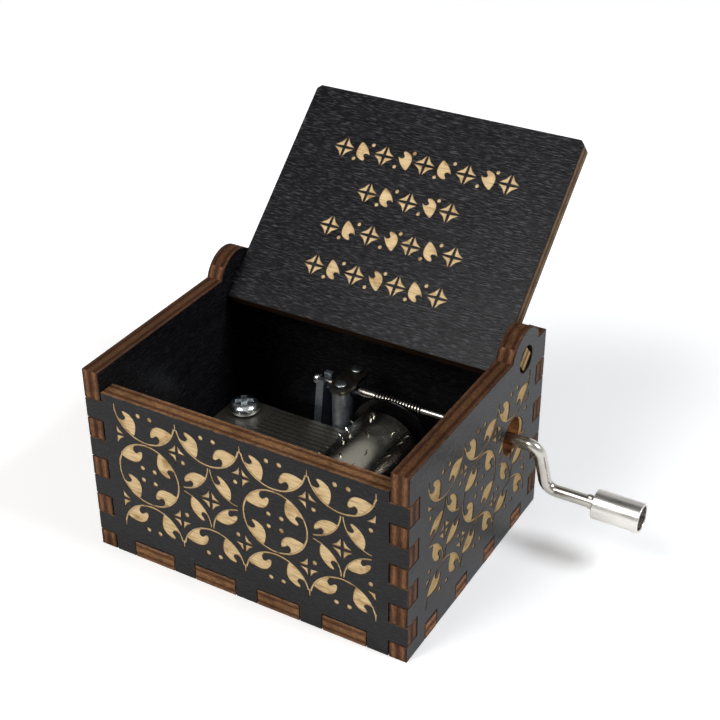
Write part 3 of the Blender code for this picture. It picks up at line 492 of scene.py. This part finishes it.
burnt_wall = scorched("burnt_wall", (0.045, 0.022, 0.012), (0.16, 0.085, 0.042))
toasted_rim = scorched("toasted_rim", (0.20, 0.120, 0.055), (0.42, 0.29, 0.150))
black_bore = scorched("black_bore", (0.008, 0.005, 0.004), (0.035, 0.016, 0.008))
amber_bore = scorched("amber_bore", (0.065, 0.022, 0.008), (0.26, 0.100, 0.030))
crank_hole = (amber_bore, within((13.0, 22.57), 3.7))
pivot_hole = (black_bore, within((17.3, 36.4), 2.8))
LEFT_AXES = board_axes((0, -1, 0), (0, 0, 1), (-0.0303, 0, 0))
RIGHT_AXES = board_axes((0, 1, 0), (0, 0, 1), (0.0303, 0, 0))
for side, axes in (("left", LEFT_AXES), ("right", RIGHT_AXES)):
    panel = ply_board(f"{side}_side_board", f"{side}_side_panel", axes, (0.42, 0.36, 0.34),
                      (1.02, 0.94, 0.80), gloss=0.100, patches=(crank_hole, pivot_hole))
    # The crank's hole breaks into the scroll on the right, so that cut is made with care.
    engrave(panel, axes, scroll_panel(("star", "circle", "star"), 0.17),
            pale_ply(f"{side}_side_bare", axes, (0.66, 0.62, 0.50)), careful=side == "right")
    stand_in(panel, "case", "case_ply", f"{side}_side_panel")


# Case front and back. Boards of the same ply with fingers at both ends; the front one is lower,
# because the closed lid lies on its top edge.

FRONT_AXES = board_axes((1, 0, 0), (0, 0, 1), (0, -0.0241, 0))
BACK_AXES = board_axes((-1, 0, 0), (0, 0, 1), (0, 0.0241, 0))
for side, axes in (("front", FRONT_AXES), ("back", BACK_AXES)):
    panel = ply_board(f"{side}_board", f"{side}_panel", axes, (0.98, 0.98, 0.98),
                      (0.75, 0.72, 0.74))
    engrave(panel, axes, scroll_panel(("circle", "star", "circle", "star"), 0.1),
            pale_ply(f"{side}_bare", axes))
    stand_in(panel, "case", "case_ply", f"{side}_panel")


# Case bottom. One board with tabs all round that show in the notches of the four walls, and
# countersunk holes for the three screws that hold the movement.

BOTTOM_AXES = board_axes((1, 0, 0), (0, -1, 0), (0, 0, 0.0017))
panel = ply_board("bottom_board", "bottom_panel", BOTTOM_AXES, (1.10, 1.10, 1.10),
                  (1.8, 1.7, 1.6), eased=0.00006)
stand_in(panel, "case", "case_ply", "bottom_panel")


# Lid. One ply board that leans open on its pivot tabs; its inner face carries four engraved bands
# of four-petalled flowers and leaves.

def flower_bands(bands):
    """Drawings of rows of four-petalled flowers and leaves; a band is (middle, height, flowers)."""
    pitch, petal_size, leaf_size, dot = 8.7, 0.98, 0.8, 0.42
    leaf_at, dots_at = (-3.1, -2.7, 0), ((-1.55, -1.85, 0), (1.45, 1.65, 0))
    flowers, leaves = bmesh.new(), bmesh.new()
    for middle, y, count in bands:
        for number in range(count):
            x = middle + (number - (count - 1) / 2) * pitch
            for quarter in range(4):
                add_copy(flowers, PETAL, quarter_place((x, y), quarter, petal_size))
            if number + 1 < count:
                every_other = Matrix.Rotation(math.pi * (number % 2), 4, "Z")
                gap = Matrix.Translation((x + pitch / 2, y, 0)) @ every_other
                add_copy(leaves, FULL_LEAF,
                         gap @ Matrix.Translation(leaf_at) @ Matrix.Scale(leaf_size, 4))
                for dot_at in dots_at:
                    draw_dot(leaves, (gap @ Vector(dot_at)).xy, dot)
    return flowers, leaves


LEAN = math.radians(48.3)
LID_UP = Vector((0, math.sin(LEAN), math.cos(LEAN)))
LID_AXES = board_axes((1, 0, 0), LID_UP, (0, 0.0173, 0.0364))
tab_end = (cut_edge("pale_tab_end", LID_AXES, END_EDGE, (2.3, 3.0, 2.3)),
           lambda point: abs(point.x) > 0.0310)
# The lid's long cut edges are toned far darker than the other boards': painted shade on the edge
# that faces down into the case. Its paler flecks run at full strength, painted glints off the grain
# as well as raised fibres.
lid = ply_board("lid_board", "lid", LID_AXES, (0.28, 0.26, 0.27), (1.02, 1.30, 1.22),
                flecks=1.0, gloss=0.14, eased=0.00010, patches=(tab_end,))
BANDS = ((0.0, 30.3, 5), (-0.3, 22.3, 3), (-0.7, 14.2, 4), (-0.5, 6.0, 4))
engrave(lid, LID_AXES, flower_bands(BANDS), pale_ply("lid_bare", LID_AXES))
stand_in(lid, "lid", "lid_ply", "lid")


# Bedplate. One zinc casting on the bottom board: plate, comb seat, two drum bearings, a forked
# post for the crank shaft's inner end and two round posts for its retainer.

def bare_metal(name, colour, roughness, spots=600.0, stretch=(1, 1, 1), change=0.25, relief=0.1):
    """Metal whose tone and gloss change a little over fine marks, spots to the metre."""
    finish, tree, shader = new_finish(name)
    place = node(tree, "Mapping", {"Scale": stretch},
                 {"Vector": node(tree, "TexCoord").outputs["Object"]}).outputs[0]
    marks = node(tree, "TexNoise", {"Scale": spots, "Detail": 5.0, "Roughness": 0.6},
                 {"Vector": place}).outputs[0]
    dark = tuple(channel * (1 - change) for channel in colour)
    light = tuple(min(1.0, channel * (1 + change)) for channel in colour)
    tree.links.new(ramp(tree, marks, ((0.3, dark), (0.5, colour), (0.7, light))),
                   shader.inputs["Base Color"])
    tree.links.new(remap(tree, marks, 0.3, 0.7, roughness * 0.8, roughness * 1.25),
                   shader.inputs["Roughness"])
    emboss(tree, shader, marks, relief, 0.00003)
    shader.inputs["Metallic"].default_value = 1.0
    return finish


# The real fork stands a little nearer the drum than the solid's, and it is slimmer.
SHAFT_Y = 0.0130
FORK_X, FORK_MOVE = -0.0080, 0.0012
FORK_REACH, FORK_HALF_WIDTH, FORK_FOOT = 0.0009, 0.0024, 0.006
SLOT_HALF_WIDTH = 0.0015
PRONGS_IN, SLOT_IN = 0.17, 0.22
casting = welded("bedplate")
for vert in casting.verts:
    off_x, off_y = vert.co.x - FORK_X, vert.co.y - SHAFT_Y
    if abs(off_x) < FORK_REACH and abs(off_y) < FORK_HALF_WIDTH and vert.co.z > FORK_FOOT:
        vert.co.x += FORK_MOVE
        vert.co.y -= off_y * (PRONGS_IN if abs(off_y) > SLOT_HALF_WIDTH else SLOT_IN)
ease_edges(casting, 0.00015)
bed = piece_from("zinc_bedplate", casting, [bare_metal(
    "cast_zinc", (0.37, 0.41, 0.46), 0.46, spots=1500.0, relief=0.3)], smooth=35.0)
stand_in(bed, "case", "zinc_casting", "bedplate")


# Comb. Flat spring steel, ground on top, with eighteen teeth cut in from the drum's side and
# thinned below; lead weights are soldered under the eight bass teeth.

plate = welded("comb")
comb = piece_from("steel_comb", plate, [bare_metal(
    "ground_steel", (0.185, 0.170, 0.143), 0.44, spots=1500.0, stretch=(1, 3, 1), change=0.35,
    relief=0.3)])
stand_in(comb, "case", "comb_steel", "comb")

lead = bare_metal("cast_lead", (0.10, 0.10, 0.105), 0.6, spots=2000.0)
for number in range(1, 9):
    block = welded(f"comb_weight_{number}")
    ease_edges(block, 0.00008)
    weight = piece_from(f"lead_weight_{number}", block, [lead])
    stand_in(weight, "case", "lead", f"comb_weight_{number}")


# Comb screws. Two zinc-plated steel screws with rounded heads and a cross recess. They go down
# through the comb's thick end and clamp it on its seat.

def turned(profile, steps, closed=False):
    """Shape turned once round Z from a profile of (radius, height)."""
    shape = bmesh.new()
    corners = [shape.verts.new((radius, 0, height)) for radius, height in profile]
    rim = [shape.edges.new(pair) for pair in zip(corners, corners[1:])]
    if closed:
        rim.append(shape.edges.new((corners[-1], corners[0])))
    bmesh.ops.spin(shape, geom=corners + rim, cent=(0, 0, 0), axis=(0, 0, 1), angle=math.tau,
                   steps=steps, use_merge=True)
    bmesh.ops.remove_doubles(shape, verts=shape.verts, dist=WELD)
    bmesh.ops.recalc_face_normals(shape, faces=shape.faces)
    return shape


def cross_recess(at, turn):
    """Two crossed wedges, wide above and narrow below, that press a screw's recess."""
    arm, slot, depth, floor_part = 0.0024, 0.00125, 0.0013, 0.55
    shape = bmesh.new()
    for quarter in range(2):
        made = bmesh.ops.create_cube(shape, size=1.0)["verts"]
        for vert in made:
            wide = 1.0 if vert.co.z > 0 else floor_part
            vert.co = (vert.co.x * 2 * arm * wide, vert.co.y * slot * (0.7 + 0.3 * wide),
                       vert.co.z * 2 * depth)
        bmesh.ops.rotate(shape, verts=made, cent=(0, 0, 0),
                         matrix=Matrix.Rotation(turn + quarter * math.pi / 2, 3, "Z"))
    shape.transform(Matrix.Translation(at))
    return shape


def ease_cut(piece, width):
    """Rounds the edges that a cut has left on a piece."""
    shape = bmesh.new()
    shape.from_mesh(piece.data)
    bmesh.ops.remove_doubles(shape, verts=shape.verts, dist=WELD)
    ease_edges(shape, width, sharper=38.0)
    shape.to_mesh(piece.data)
    shape.free()


bright_zinc = bare_metal("bright_zinc", (0.74, 0.78, 0.80), 0.22, spots=1200.0, change=0.12,
                         relief=0.12)
SCREW_X, COMB_TOP, HEAD_TOP = -0.0197, 0.0163, 0.0184
HEAD_AND_SHANK = (
    (0.0, 0.00205), (0.0012, 0.00202), (0.0019, 0.00190), (0.0024, 0.00165), (0.00275, 0.00125),
    (0.00296, 0.00075), (0.00300, 0.00035), (0.00290, 0.00010), (0.00278, 0.0), (0.0013, 0.0),
    (0.0013, -0.0058), (0.0011, -0.0060), (0.0, -0.0060))
for end, y, turn in (("front", -0.0089, 0.03), ("rear", 0.0043, 0.6)):
    blank = turned(HEAD_AND_SHANK, 64)
    blank.transform(Matrix.Translation((SCREW_X, y, COMB_TOP)))
    screw = piece_from(f"pan_head_screw_{end}", blank, [bright_zinc], smooth=40.0)
    subtract(screw, cross_recess((SCREW_X, y, HEAD_TOP), turn), [bright_zinc], careful=True)
    ease_cut(screw, 0.00016)
    stand_in(screw, "case", "zinc_plated_screw", f"comb_screw_{end}")


# Base screws. Three countersunk screws of the same zinc-plated steel. They come up through the
# bottom board and hold the casting down on it.

for number in range(1, 4):
    driven = welded(f"base_screw_{number}")
    ease_edges(driven, 0.00004, segments=1, sharper=40.0)
    screw = piece_from(f"countersunk_screw_{number}", driven, [bright_zinc], smooth=35.0)
    stand_in(screw, "case", "zinc_plated_screw", f"base_screw_{number}")


# Drum. A thin steel tube, rolled to a narrow seam and studded with pins, on two black plastic
# caps that turn on a steel arbor in the casting's bearings.

DRUM = Matrix.Translation((0.0085, -0.0024, 0.0150)) @ Matrix.Rotation(-math.pi / 2, 4, "X")
RADIUS, BORE, HALF_LENGTH = 0.0070, 0.0065, 0.0112
SEAM_AT, ROLLED = -44.3, 358.6
TRACKS, TRACK_PITCH, BEATS = 18, 0.00115, 40
PIN_RADIUS, PIN_LENGTH, PIN_MIDDLE, PIN_TIP = 0.00020, 0.00095, 0.007225, 0.0076

peg = bmesh.new()
bmesh.ops.create_cone(peg, cap_ends=True, segments=8, radius1=PIN_RADIUS, radius2=PIN_RADIUS,
                      depth=PIN_LENGTH, matrix=Matrix.Translation((0, 0, PIN_MIDDLE)))
tip = [edge for edge in peg.edges if all(vert.co.z > PIN_TIP for vert in edge.verts)]
bmesh.ops.bevel(peg, geom=tip, offset=0.00009, affect="EDGES", segments=2, profile=0.5,
                material=-1)
pin = as_mesh("pin", peg)

tube = bmesh.new()
seam = Matrix.Rotation(math.radians(SEAM_AT), 3, "Z")
corners = [tube.verts.new(seam @ Vector((radius, 0, along))) for radius, along in (
    (RADIUS, HALF_LENGTH), (RADIUS, -HALF_LENGTH), (BORE, -HALF_LENGTH), (BORE, HALF_LENGTH))]
ring = [tube.edges.new((corners[step - 1], corners[step])) for step in range(4)]
bmesh.ops.spin(tube, geom=corners + ring, cent=(0, 0, 0), axis=(0, 0, 1),
               angle=math.radians(ROLLED), steps=140)
bmesh.ops.holes_fill(tube, edges=[edge for edge in tube.edges if edge.is_boundary], sides=4)
bmesh.ops.recalc_face_normals(tube, faces=tube.faces)
ease_edges(tube, 0.00006, sharper=60.0)

# The tune is made up: a note on every beat, one more on every fourth and a pair on every eighth.
pins = set()
for beat in range(BEATS):
    pins.add((7 * beat % TRACKS, beat))
    if beat % 4 == 0:
        pins.add((5 * beat // 4 % TRACKS, beat))
    if beat % 8 == 3:
        pins.update(((3 * beat % TRACKS, beat), ((3 * beat + 2) % TRACKS, beat)))
for track, beat in sorted(pins):
    around = Matrix.Rotation(math.tau * (beat + 0.5) / BEATS, 4, "Z")
    along = Matrix.Translation((0, 0, (track - (TRACKS - 1) / 2) * TRACK_PITCH))
    add_copy(tube, pin, around @ along @ Matrix.Rotation(math.pi / 2, 4, "Y"))
tube.transform(DRUM)
barrel = piece_from("pinned_drum", tube, [bare_metal(
    "drum_steel_finish", (0.42, 0.40, 0.34), 0.23, spots=400.0, change=0.06, relief=0.004)],
    smooth=40.0)
stand_in(barrel, "drum", "drum_steel", "drum_shell")

moulded, tree, shader = new_finish("moulded_black_plastic")
place = node(tree, "TexCoord").outputs["Object"]
flow = node(tree, "TexNoise", {"Scale": 700.0, "Detail": 4.0}, {"Vector": place}).outputs[0]
tree.links.new(ramp(tree, flow, ((0.3, (0.002, 0.002, 0.002)), (0.7, (0.005, 0.005, 0.005)))),
               shader.inputs["Base Color"])
tree.links.new(remap(tree, flow, 0.0, 1.0, 0.18, 0.30), shader.inputs["Roughness"])
shader.inputs["Specular IOR Level"].default_value = 0.3
for end in ("front", "rear"):
    disc = welded(f"drum_{end}_cap")
    ease_edges(disc, 0.00008)
    cap = piece_from(f"black_cap_{end}", disc, [moulded], smooth=35.0)
    stand_in(cap, "drum", "black_plastic", f"drum_{end}_cap")
axle = welded("drum_arbor")
ease_edges(axle, 0.00010)
arbor = piece_from("steel_arbor", axle, [bare_metal("arbor_steel", (0.45, 0.44, 0.42), 0.25)],
                   smooth=35.0)
stand_in(arbor, "drum", "drum_steel", "drum_arbor")


# Drive gear. Black plastic worm wheel with sixty teeth and a thin flange, moulded in one and
# pressed on the arbor's rear end.

wheel = welded("drive_gear")
ease_edges(wheel, 0.00004, segments=1, sharper=50.0)
gear = piece_from("worm_wheel", wheel, [moulded], smooth=40.0)
stand_in(gear, "drum", "black_plastic", "drive_gear")


# Crank. One nickel-plated wire: upset head behind the fork, rolled worm thread over the gear, and
# two bends to the grip, where it is nipped flat to stop the sleeve.

CRANK_TURN = math.radians(11.1)
CRANK = Matrix.Translation((0, SHAFT_Y, 0.0219706)) @ Matrix.Rotation(CRANK_TURN, 4, "X")
WIRE, BEND = 1.15, 2.4  # radii of the wire and of its bends, in millimetres as all that follows
SHAFT_END, ARM_END, ARM_OUT, ARM_DOWN = 37.3, 38.5, 1.2, 9.8


def drawn_on(shape, ring, move, radius):
    """Next ring of the wire: the last one moved on and brought to a radius."""
    middle = sum((vert.co for vert in ring[0]), Vector()) / len(ring[0])
    last = (ring[0][0].co - middle).length
    made = bmesh.ops.extrude_edge_only(shape, edges=ring[1])["geom"]
    verts = of_kind(bmesh.types.BMVert, made)
    edges = [edge for edge in of_kind(bmesh.types.BMEdge, made)
             if all(vert in verts for vert in edge.verts)]
    bmesh.ops.scale(shape, vec=Vector((1, 1, 1)) * radius / last, verts=verts,
                    space=Matrix.Translation(-middle))
    bmesh.ops.translate(shape, vec=move, verts=verts)
    return verts, edges


def drawn_along(shape, ring, x, steps):
    """The wire drawn straight on from x, through steps of (place, radius)."""
    for to, radius in steps:
        ring = drawn_on(shape, ring, ((to - x) * MM, 0, 0), radius * MM)
        x = to
    return ring


def bent_on(shape, ring, centre, angle):
    """The wire carried round a bend in its own plane."""
    made = bmesh.ops.spin(shape, geom=ring[0] + ring[1], cent=centre, axis=(0, 1, 0),
                          angle=angle, steps=14)["geom_last"]
    return of_kind(bmesh.types.BMVert, made), of_kind(bmesh.types.BMEdge, made)


slope = Vector((ARM_OUT, 0, -ARM_DOWN)).normalized()
angle = math.acos(slope.x)
setback = BEND * math.tan(angle / 2)
arm = math.hypot(ARM_OUT, ARM_DOWN) - 2 * setback

wire = bmesh.new()
inner_end = bmesh.ops.create_circle(wire, cap_ends=False, segments=32, radius=0.5 * MM,
                                    matrix=Matrix.Translation((-9.075 * MM, 0, 0))
                                    @ Matrix.Rotation(math.pi / 2, 4, "Y"))["verts"]
ring = (inner_end, list(wire.edges))
wire.faces.new(inner_end)
ring = drawn_along(wire, ring, -9.075, (
    (-9.04, 0.80), (-8.96, 1.00), (-8.82, 1.11), (-8.62, 1.13), (-8.20, 1.13), (-8.00, 1.08),
    (-7.90, 0.98), (-7.87, 0.70), (-0.36, 0.70), (-0.34, 0.86), (-0.22, 0.95), (4.30, 0.95),
    (4.42, 0.78), (13.85, 0.78), (13.95, 0.82), (23.6, 0.82), (24.4, 0.86), (28.0, 1.12),
    (28.6, WIRE), (SHAFT_END - setback, WIRE)))
ring = bent_on(wire, ring, ((SHAFT_END - setback) * MM, 0, -BEND * MM), angle)
ring = drawn_on(wire, ring, slope * arm * MM, WIRE * MM)
ring = bent_on(wire, ring, ((ARM_END + setback) * MM, 0, (BEND - ARM_DOWN) * MM), -angle)
ring = drawn_along(wire, ring, ARM_END + setback, (
    (48.95, WIRE), (49.15, 1.35), (49.22, 1.62), (49.35, 1.70), (49.80, 1.70), (49.95, 1.60),
    (50.02, 1.35)))
wire.faces.new(ring[0])
bmesh.ops.recalc_face_normals(wire, faces=wire.faces)

GEAR_X, THREAD_PITCH, THREAD_TURNS, STEPS_A_TURN = 8.5, 0.62, 15, 24
THREAD_FROM, THREAD_TO, THREAD_ROOT = 4.4, 13.9, 0.95
RIDGE = ((-0.28, 0.74), (-0.18, 0.99), (-0.09, 1.14), (0.09, 1.14), (0.18, 0.99), (0.28, 0.74))
TURNS_INWARD = 6.5
thread = bmesh.new()
start = GEAR_X - TURNS_INWARD * THREAD_PITCH
down = -math.pi / 2 - CRANK_TURN
corners = [thread.verts.new(((start + along) * MM, radius * math.cos(down) * MM,
                             radius * math.sin(down) * MM)) for along, radius in RIDGE]
edges = [thread.edges.new((corners[step], corners[step - 1])) for step in range(len(corners))]
bmesh.ops.spin(thread, geom=corners + edges, cent=(0, 0, 0), axis=(1, 0, 0),
               dvec=(THREAD_PITCH * MM / STEPS_A_TURN, 0, 0), angle=math.tau * THREAD_TURNS,
               steps=STEPS_A_TURN * THREAD_TURNS)
bmesh.ops.holes_fill(thread, edges=[edge for edge in thread.edges if edge.is_boundary], sides=8)
bmesh.ops.recalc_face_normals(thread, faces=thread.faces)
wire.from_mesh(as_mesh("thread", thread))
# Between the thread's turns the wire's core takes a near-black finish: grease in the groove, and
# painted shade for the groove's depth.
for face in wire.faces:
    middle = face.calc_center_median()
    if (THREAD_FROM * MM < middle.x < THREAD_TO * MM
            and math.hypot(middle.y, middle.z) < THREAD_ROOT * MM):
        face.material_index = 1

# The nip spreads the wire to both sides, just short of the sleeve.
NIP_AT, NIP_SIZE = (0.04715, 0, -0.0098), (0.0013, 0.0011, 0.0033)
nip = bmesh.new()
bmesh.ops.create_cube(nip, size=1.0, matrix=Matrix.Translation(NIP_AT)
                      @ Matrix.Diagonal((*NIP_SIZE, 1)))
ease_edges(nip, 0.00035, segments=4)
wire.from_mesh(as_mesh("nip", nip))
wire.transform(CRANK)
plated = bare_metal("nickel_plate", (0.54, 0.51, 0.46), 0.22, spots=400.0, change=0.12,
                    relief=0.05)
# Near-black for grease and painted shade in the thread's groove.
grease_and_shade = bare_metal("grease_and_shade_thread_root", (0.07, 0.06, 0.05), 0.35, spots=900.0)
handle = piece_from("crank_wire", wire, [plated, grease_and_shade], smooth=40.0)
stand_in(handle, "crank", "nickel_wire", "crank_shaft")


# Grip sleeve. Thin nickel-plated cup that spins on the crank's end, held by the peened head that
# shows inside it.

CUP = ((0.0028, 0.0088), (0.0028, 0.0), (0.0013, 0.0), (0.0013, 0.0008), (0.0023, 0.0008),
       (0.0023, 0.0088))
cup = turned(CUP, 96, closed=True)
ease_edges(cup, 0.00015, segments=3, sharper=60.0)
FOOT_AT = (0.0481, 0, -0.0098)
cup.transform(CRANK @ Matrix.Translation(FOOT_AT) @ Matrix.Rotation(math.pi / 2, 4, "Y"))
sleeve = piece_from("grip_sleeve", cup, [bare_metal(
    "sleeve_plate", (0.72, 0.69, 0.65), 0.27, spots=170.0, stretch=(1, 9, 9), change=0.16,
    relief=0.04)], smooth=40.0)
stand_in(sleeve, "knob", "nickel_sleeve", "knob_sleeve")


# Retainer. Small steel plate over the crank shaft, with two zinc-plated rivets that go through it
# into the casting's round posts.

strap = welded("retainer_plate")
ease_edges(strap, 0.00010)
retainer = piece_from("retainer", strap, [bare_metal(
    "retainer_steel_finish", (0.16, 0.148, 0.128), 0.38, spots=1200.0)], smooth=35.0)
stand_in(retainer, "case", "retainer_steel", "retainer_plate")
dull_zinc = bare_metal("dull_zinc", (0.36, 0.38, 0.39), 0.36, spots=1800.0, relief=0.25)
for end in ("front", "rear"):
    stud = welded(f"retainer_rivet_{end}")
    ease_edges(stud, 0.00005, segments=1, sharper=40.0)
    rivet = piece_from(f"rivet_{end}", stud, [dull_zinc], smooth=50.0)
    stand_in(rivet, "case", "zinc_plated_screw", f"retainer_rivet_{end}")


# Studio. A white floor, soft lamps at the right and at the left of the camera, and a window that
# only glossy faces mirror. The camera stands where the photograph was taken from.

BOX_MIDDLE, LAMP_DISTANCE = 0.020, 0.9


def lamp(name, azimuth, elevation, size, level, tint):
    """Square soft lamp aimed at the box; level 1 alone shows a facing colour as written."""
    light = bpy.data.lights.new(name, "AREA")
    light.color = tint
    light.shape = "SQUARE"
    light.size = size
    light.energy = level * (math.pi * LAMP_DISTANCE) ** 2
    around, up = math.radians(azimuth), math.radians(elevation)
    towards = Vector((math.cos(around) * math.cos(up), math.sin(around) * math.cos(up),
                      math.sin(up)))
    place = Matrix.Translation(towards * LAMP_DISTANCE + Vector((0, 0, BOX_MIDDLE)))
    stand = bpy.data.objects.new(name, light)
    stand.matrix_world = place @ towards.to_track_quat("Z", "Y").to_matrix().to_4x4()
    bpy.context.scene.collection.objects.link(stand)
    return stand


def strongest(tree, first, second):
    """The larger of two values."""
    return calculate(tree, "MAXIMUM", first, second)


lamp("right_softbox", 10, 45, 0.26, 0.62, (0.96, 0.99, 1.04))
softbox = lamp("front_left_softbox", -123, 44, 0.55, 0.86, (1.015, 1.0, 0.985))
softbox.visible_glossy = False
window = lamp("window", -105, 50, 0.36, 0.60, (1.0, 1.0, 1.0))
window.visible_diffuse = False

sky = bpy.data.worlds.new("studio")
bpy.context.scene.world = sky
sky.use_nodes = True
tree = sky.node_tree
path = node(tree, "LightPath")
on_camera = path.outputs["Is Camera Ray"]
seen = strongest(tree, on_camera, strongest(
    tree, path.outputs["Is Glossy Ray"], path.outputs["Is Transmission Ray"]))
towards = node(tree, "SeparateXYZ", links={0: node(tree, "TexCoord").outputs["Generated"]})
right, rearward, upward = towards.outputs
# What metal mirrors: a white horizon, a grey ceiling over the bright side and a paler rear wall.
horizon = remap(tree, upward, 0.10, 0.40, 1.0, 0.08)
bright_side = calculate(tree, "SUBTRACT", calculate(tree, "MULTIPLY", right, 0.8),
                        calculate(tree, "MULTIPLY", rearward, 0.6))
ceiling = remap(tree, bright_side, -0.20, 0.0, 0.08, 0.4)
rear = remap(tree, rearward, 0.45, 0.62, 0.08, 0.6)
backdrop = strongest(tree, on_camera, strongest(tree, horizon, strongest(tree, ceiling, rear)))
factor, unseen, shown = 0, 2, 3
strength = node(tree, "Mix", {"data_type": "FLOAT", unseen: 0.12},
                {factor: seen, shown: backdrop}).outputs[0]
tree.nodes["Background"].inputs["Color"].default_value = (1, 1, 1, 1)
tree.links.new(strength, tree.nodes["Background"].inputs["Strength"])

# The floor lies a hair below the box's underside, so that the two never share a plane.
FLOOR_REACH, FLOOR_Z = 3.0, -0.00002
ground = bmesh.new()
bmesh.ops.create_grid(ground, x_segments=1, y_segments=1, size=FLOOR_REACH,
                      matrix=Matrix.Translation((0, 0, FLOOR_Z)))
paper, tree, shader = new_finish("white_paper")
shader.inputs["Base Color"].default_value = (0.92, 0.92, 0.92, 1)
shader.inputs["Roughness"].default_value = 0.9
shader.inputs["Specular IOR Level"].default_value = 0.0
shader.inputs["Emission Color"].default_value = (1, 1, 1, 1)
path = node(tree, "LightPath")
seen = strongest(tree, path.outputs["Is Camera Ray"], path.outputs["Is Glossy Ray"])
tree.links.new(calculate(tree, "MULTIPLY", seen, 0.31), shader.inputs["Emission Strength"])
floor = piece_from("floor", ground, [paper])

SENSOR, FRAME_PIXELS, FOCAL_PIXELS = 36.0, 720, 1451.03
LOOK_AT, DISTANCE = Vector((-0.006353, 0.025367, 0.020)), 0.2854
camera = bpy.data.cameras.new("camera")
camera.sensor_width = SENSOR
camera.lens = FOCAL_PIXELS / FRAME_PIXELS * SENSOR
camera.clip_start = 0.01
azimuth, elevation, roll = (math.radians(angle) for angle in (30.067, 32.038, -0.248))
back = Vector((math.sin(azimuth) * math.cos(elevation), -math.cos(azimuth) * math.cos(elevation),
               math.sin(elevation)))
level = Vector((math.cos(azimuth), math.sin(azimuth), 0))
upright = back.cross(level)
across = level * math.cos(roll) + upright * math.sin(roll)
upward = upright * math.cos(roll) - level * math.sin(roll)
tripod = bpy.data.objects.new("camera", camera)
tripod.matrix_world = (Matrix.Translation(LOOK_AT + back * DISTANCE)
                       @ Matrix((across, upward, back)).transposed().to_4x4())
bpy.context.scene.collection.objects.link(tripod)
bpy.context.scene.camera = tripod
bpy.context.scene.view_settings.view_transform = "Standard"
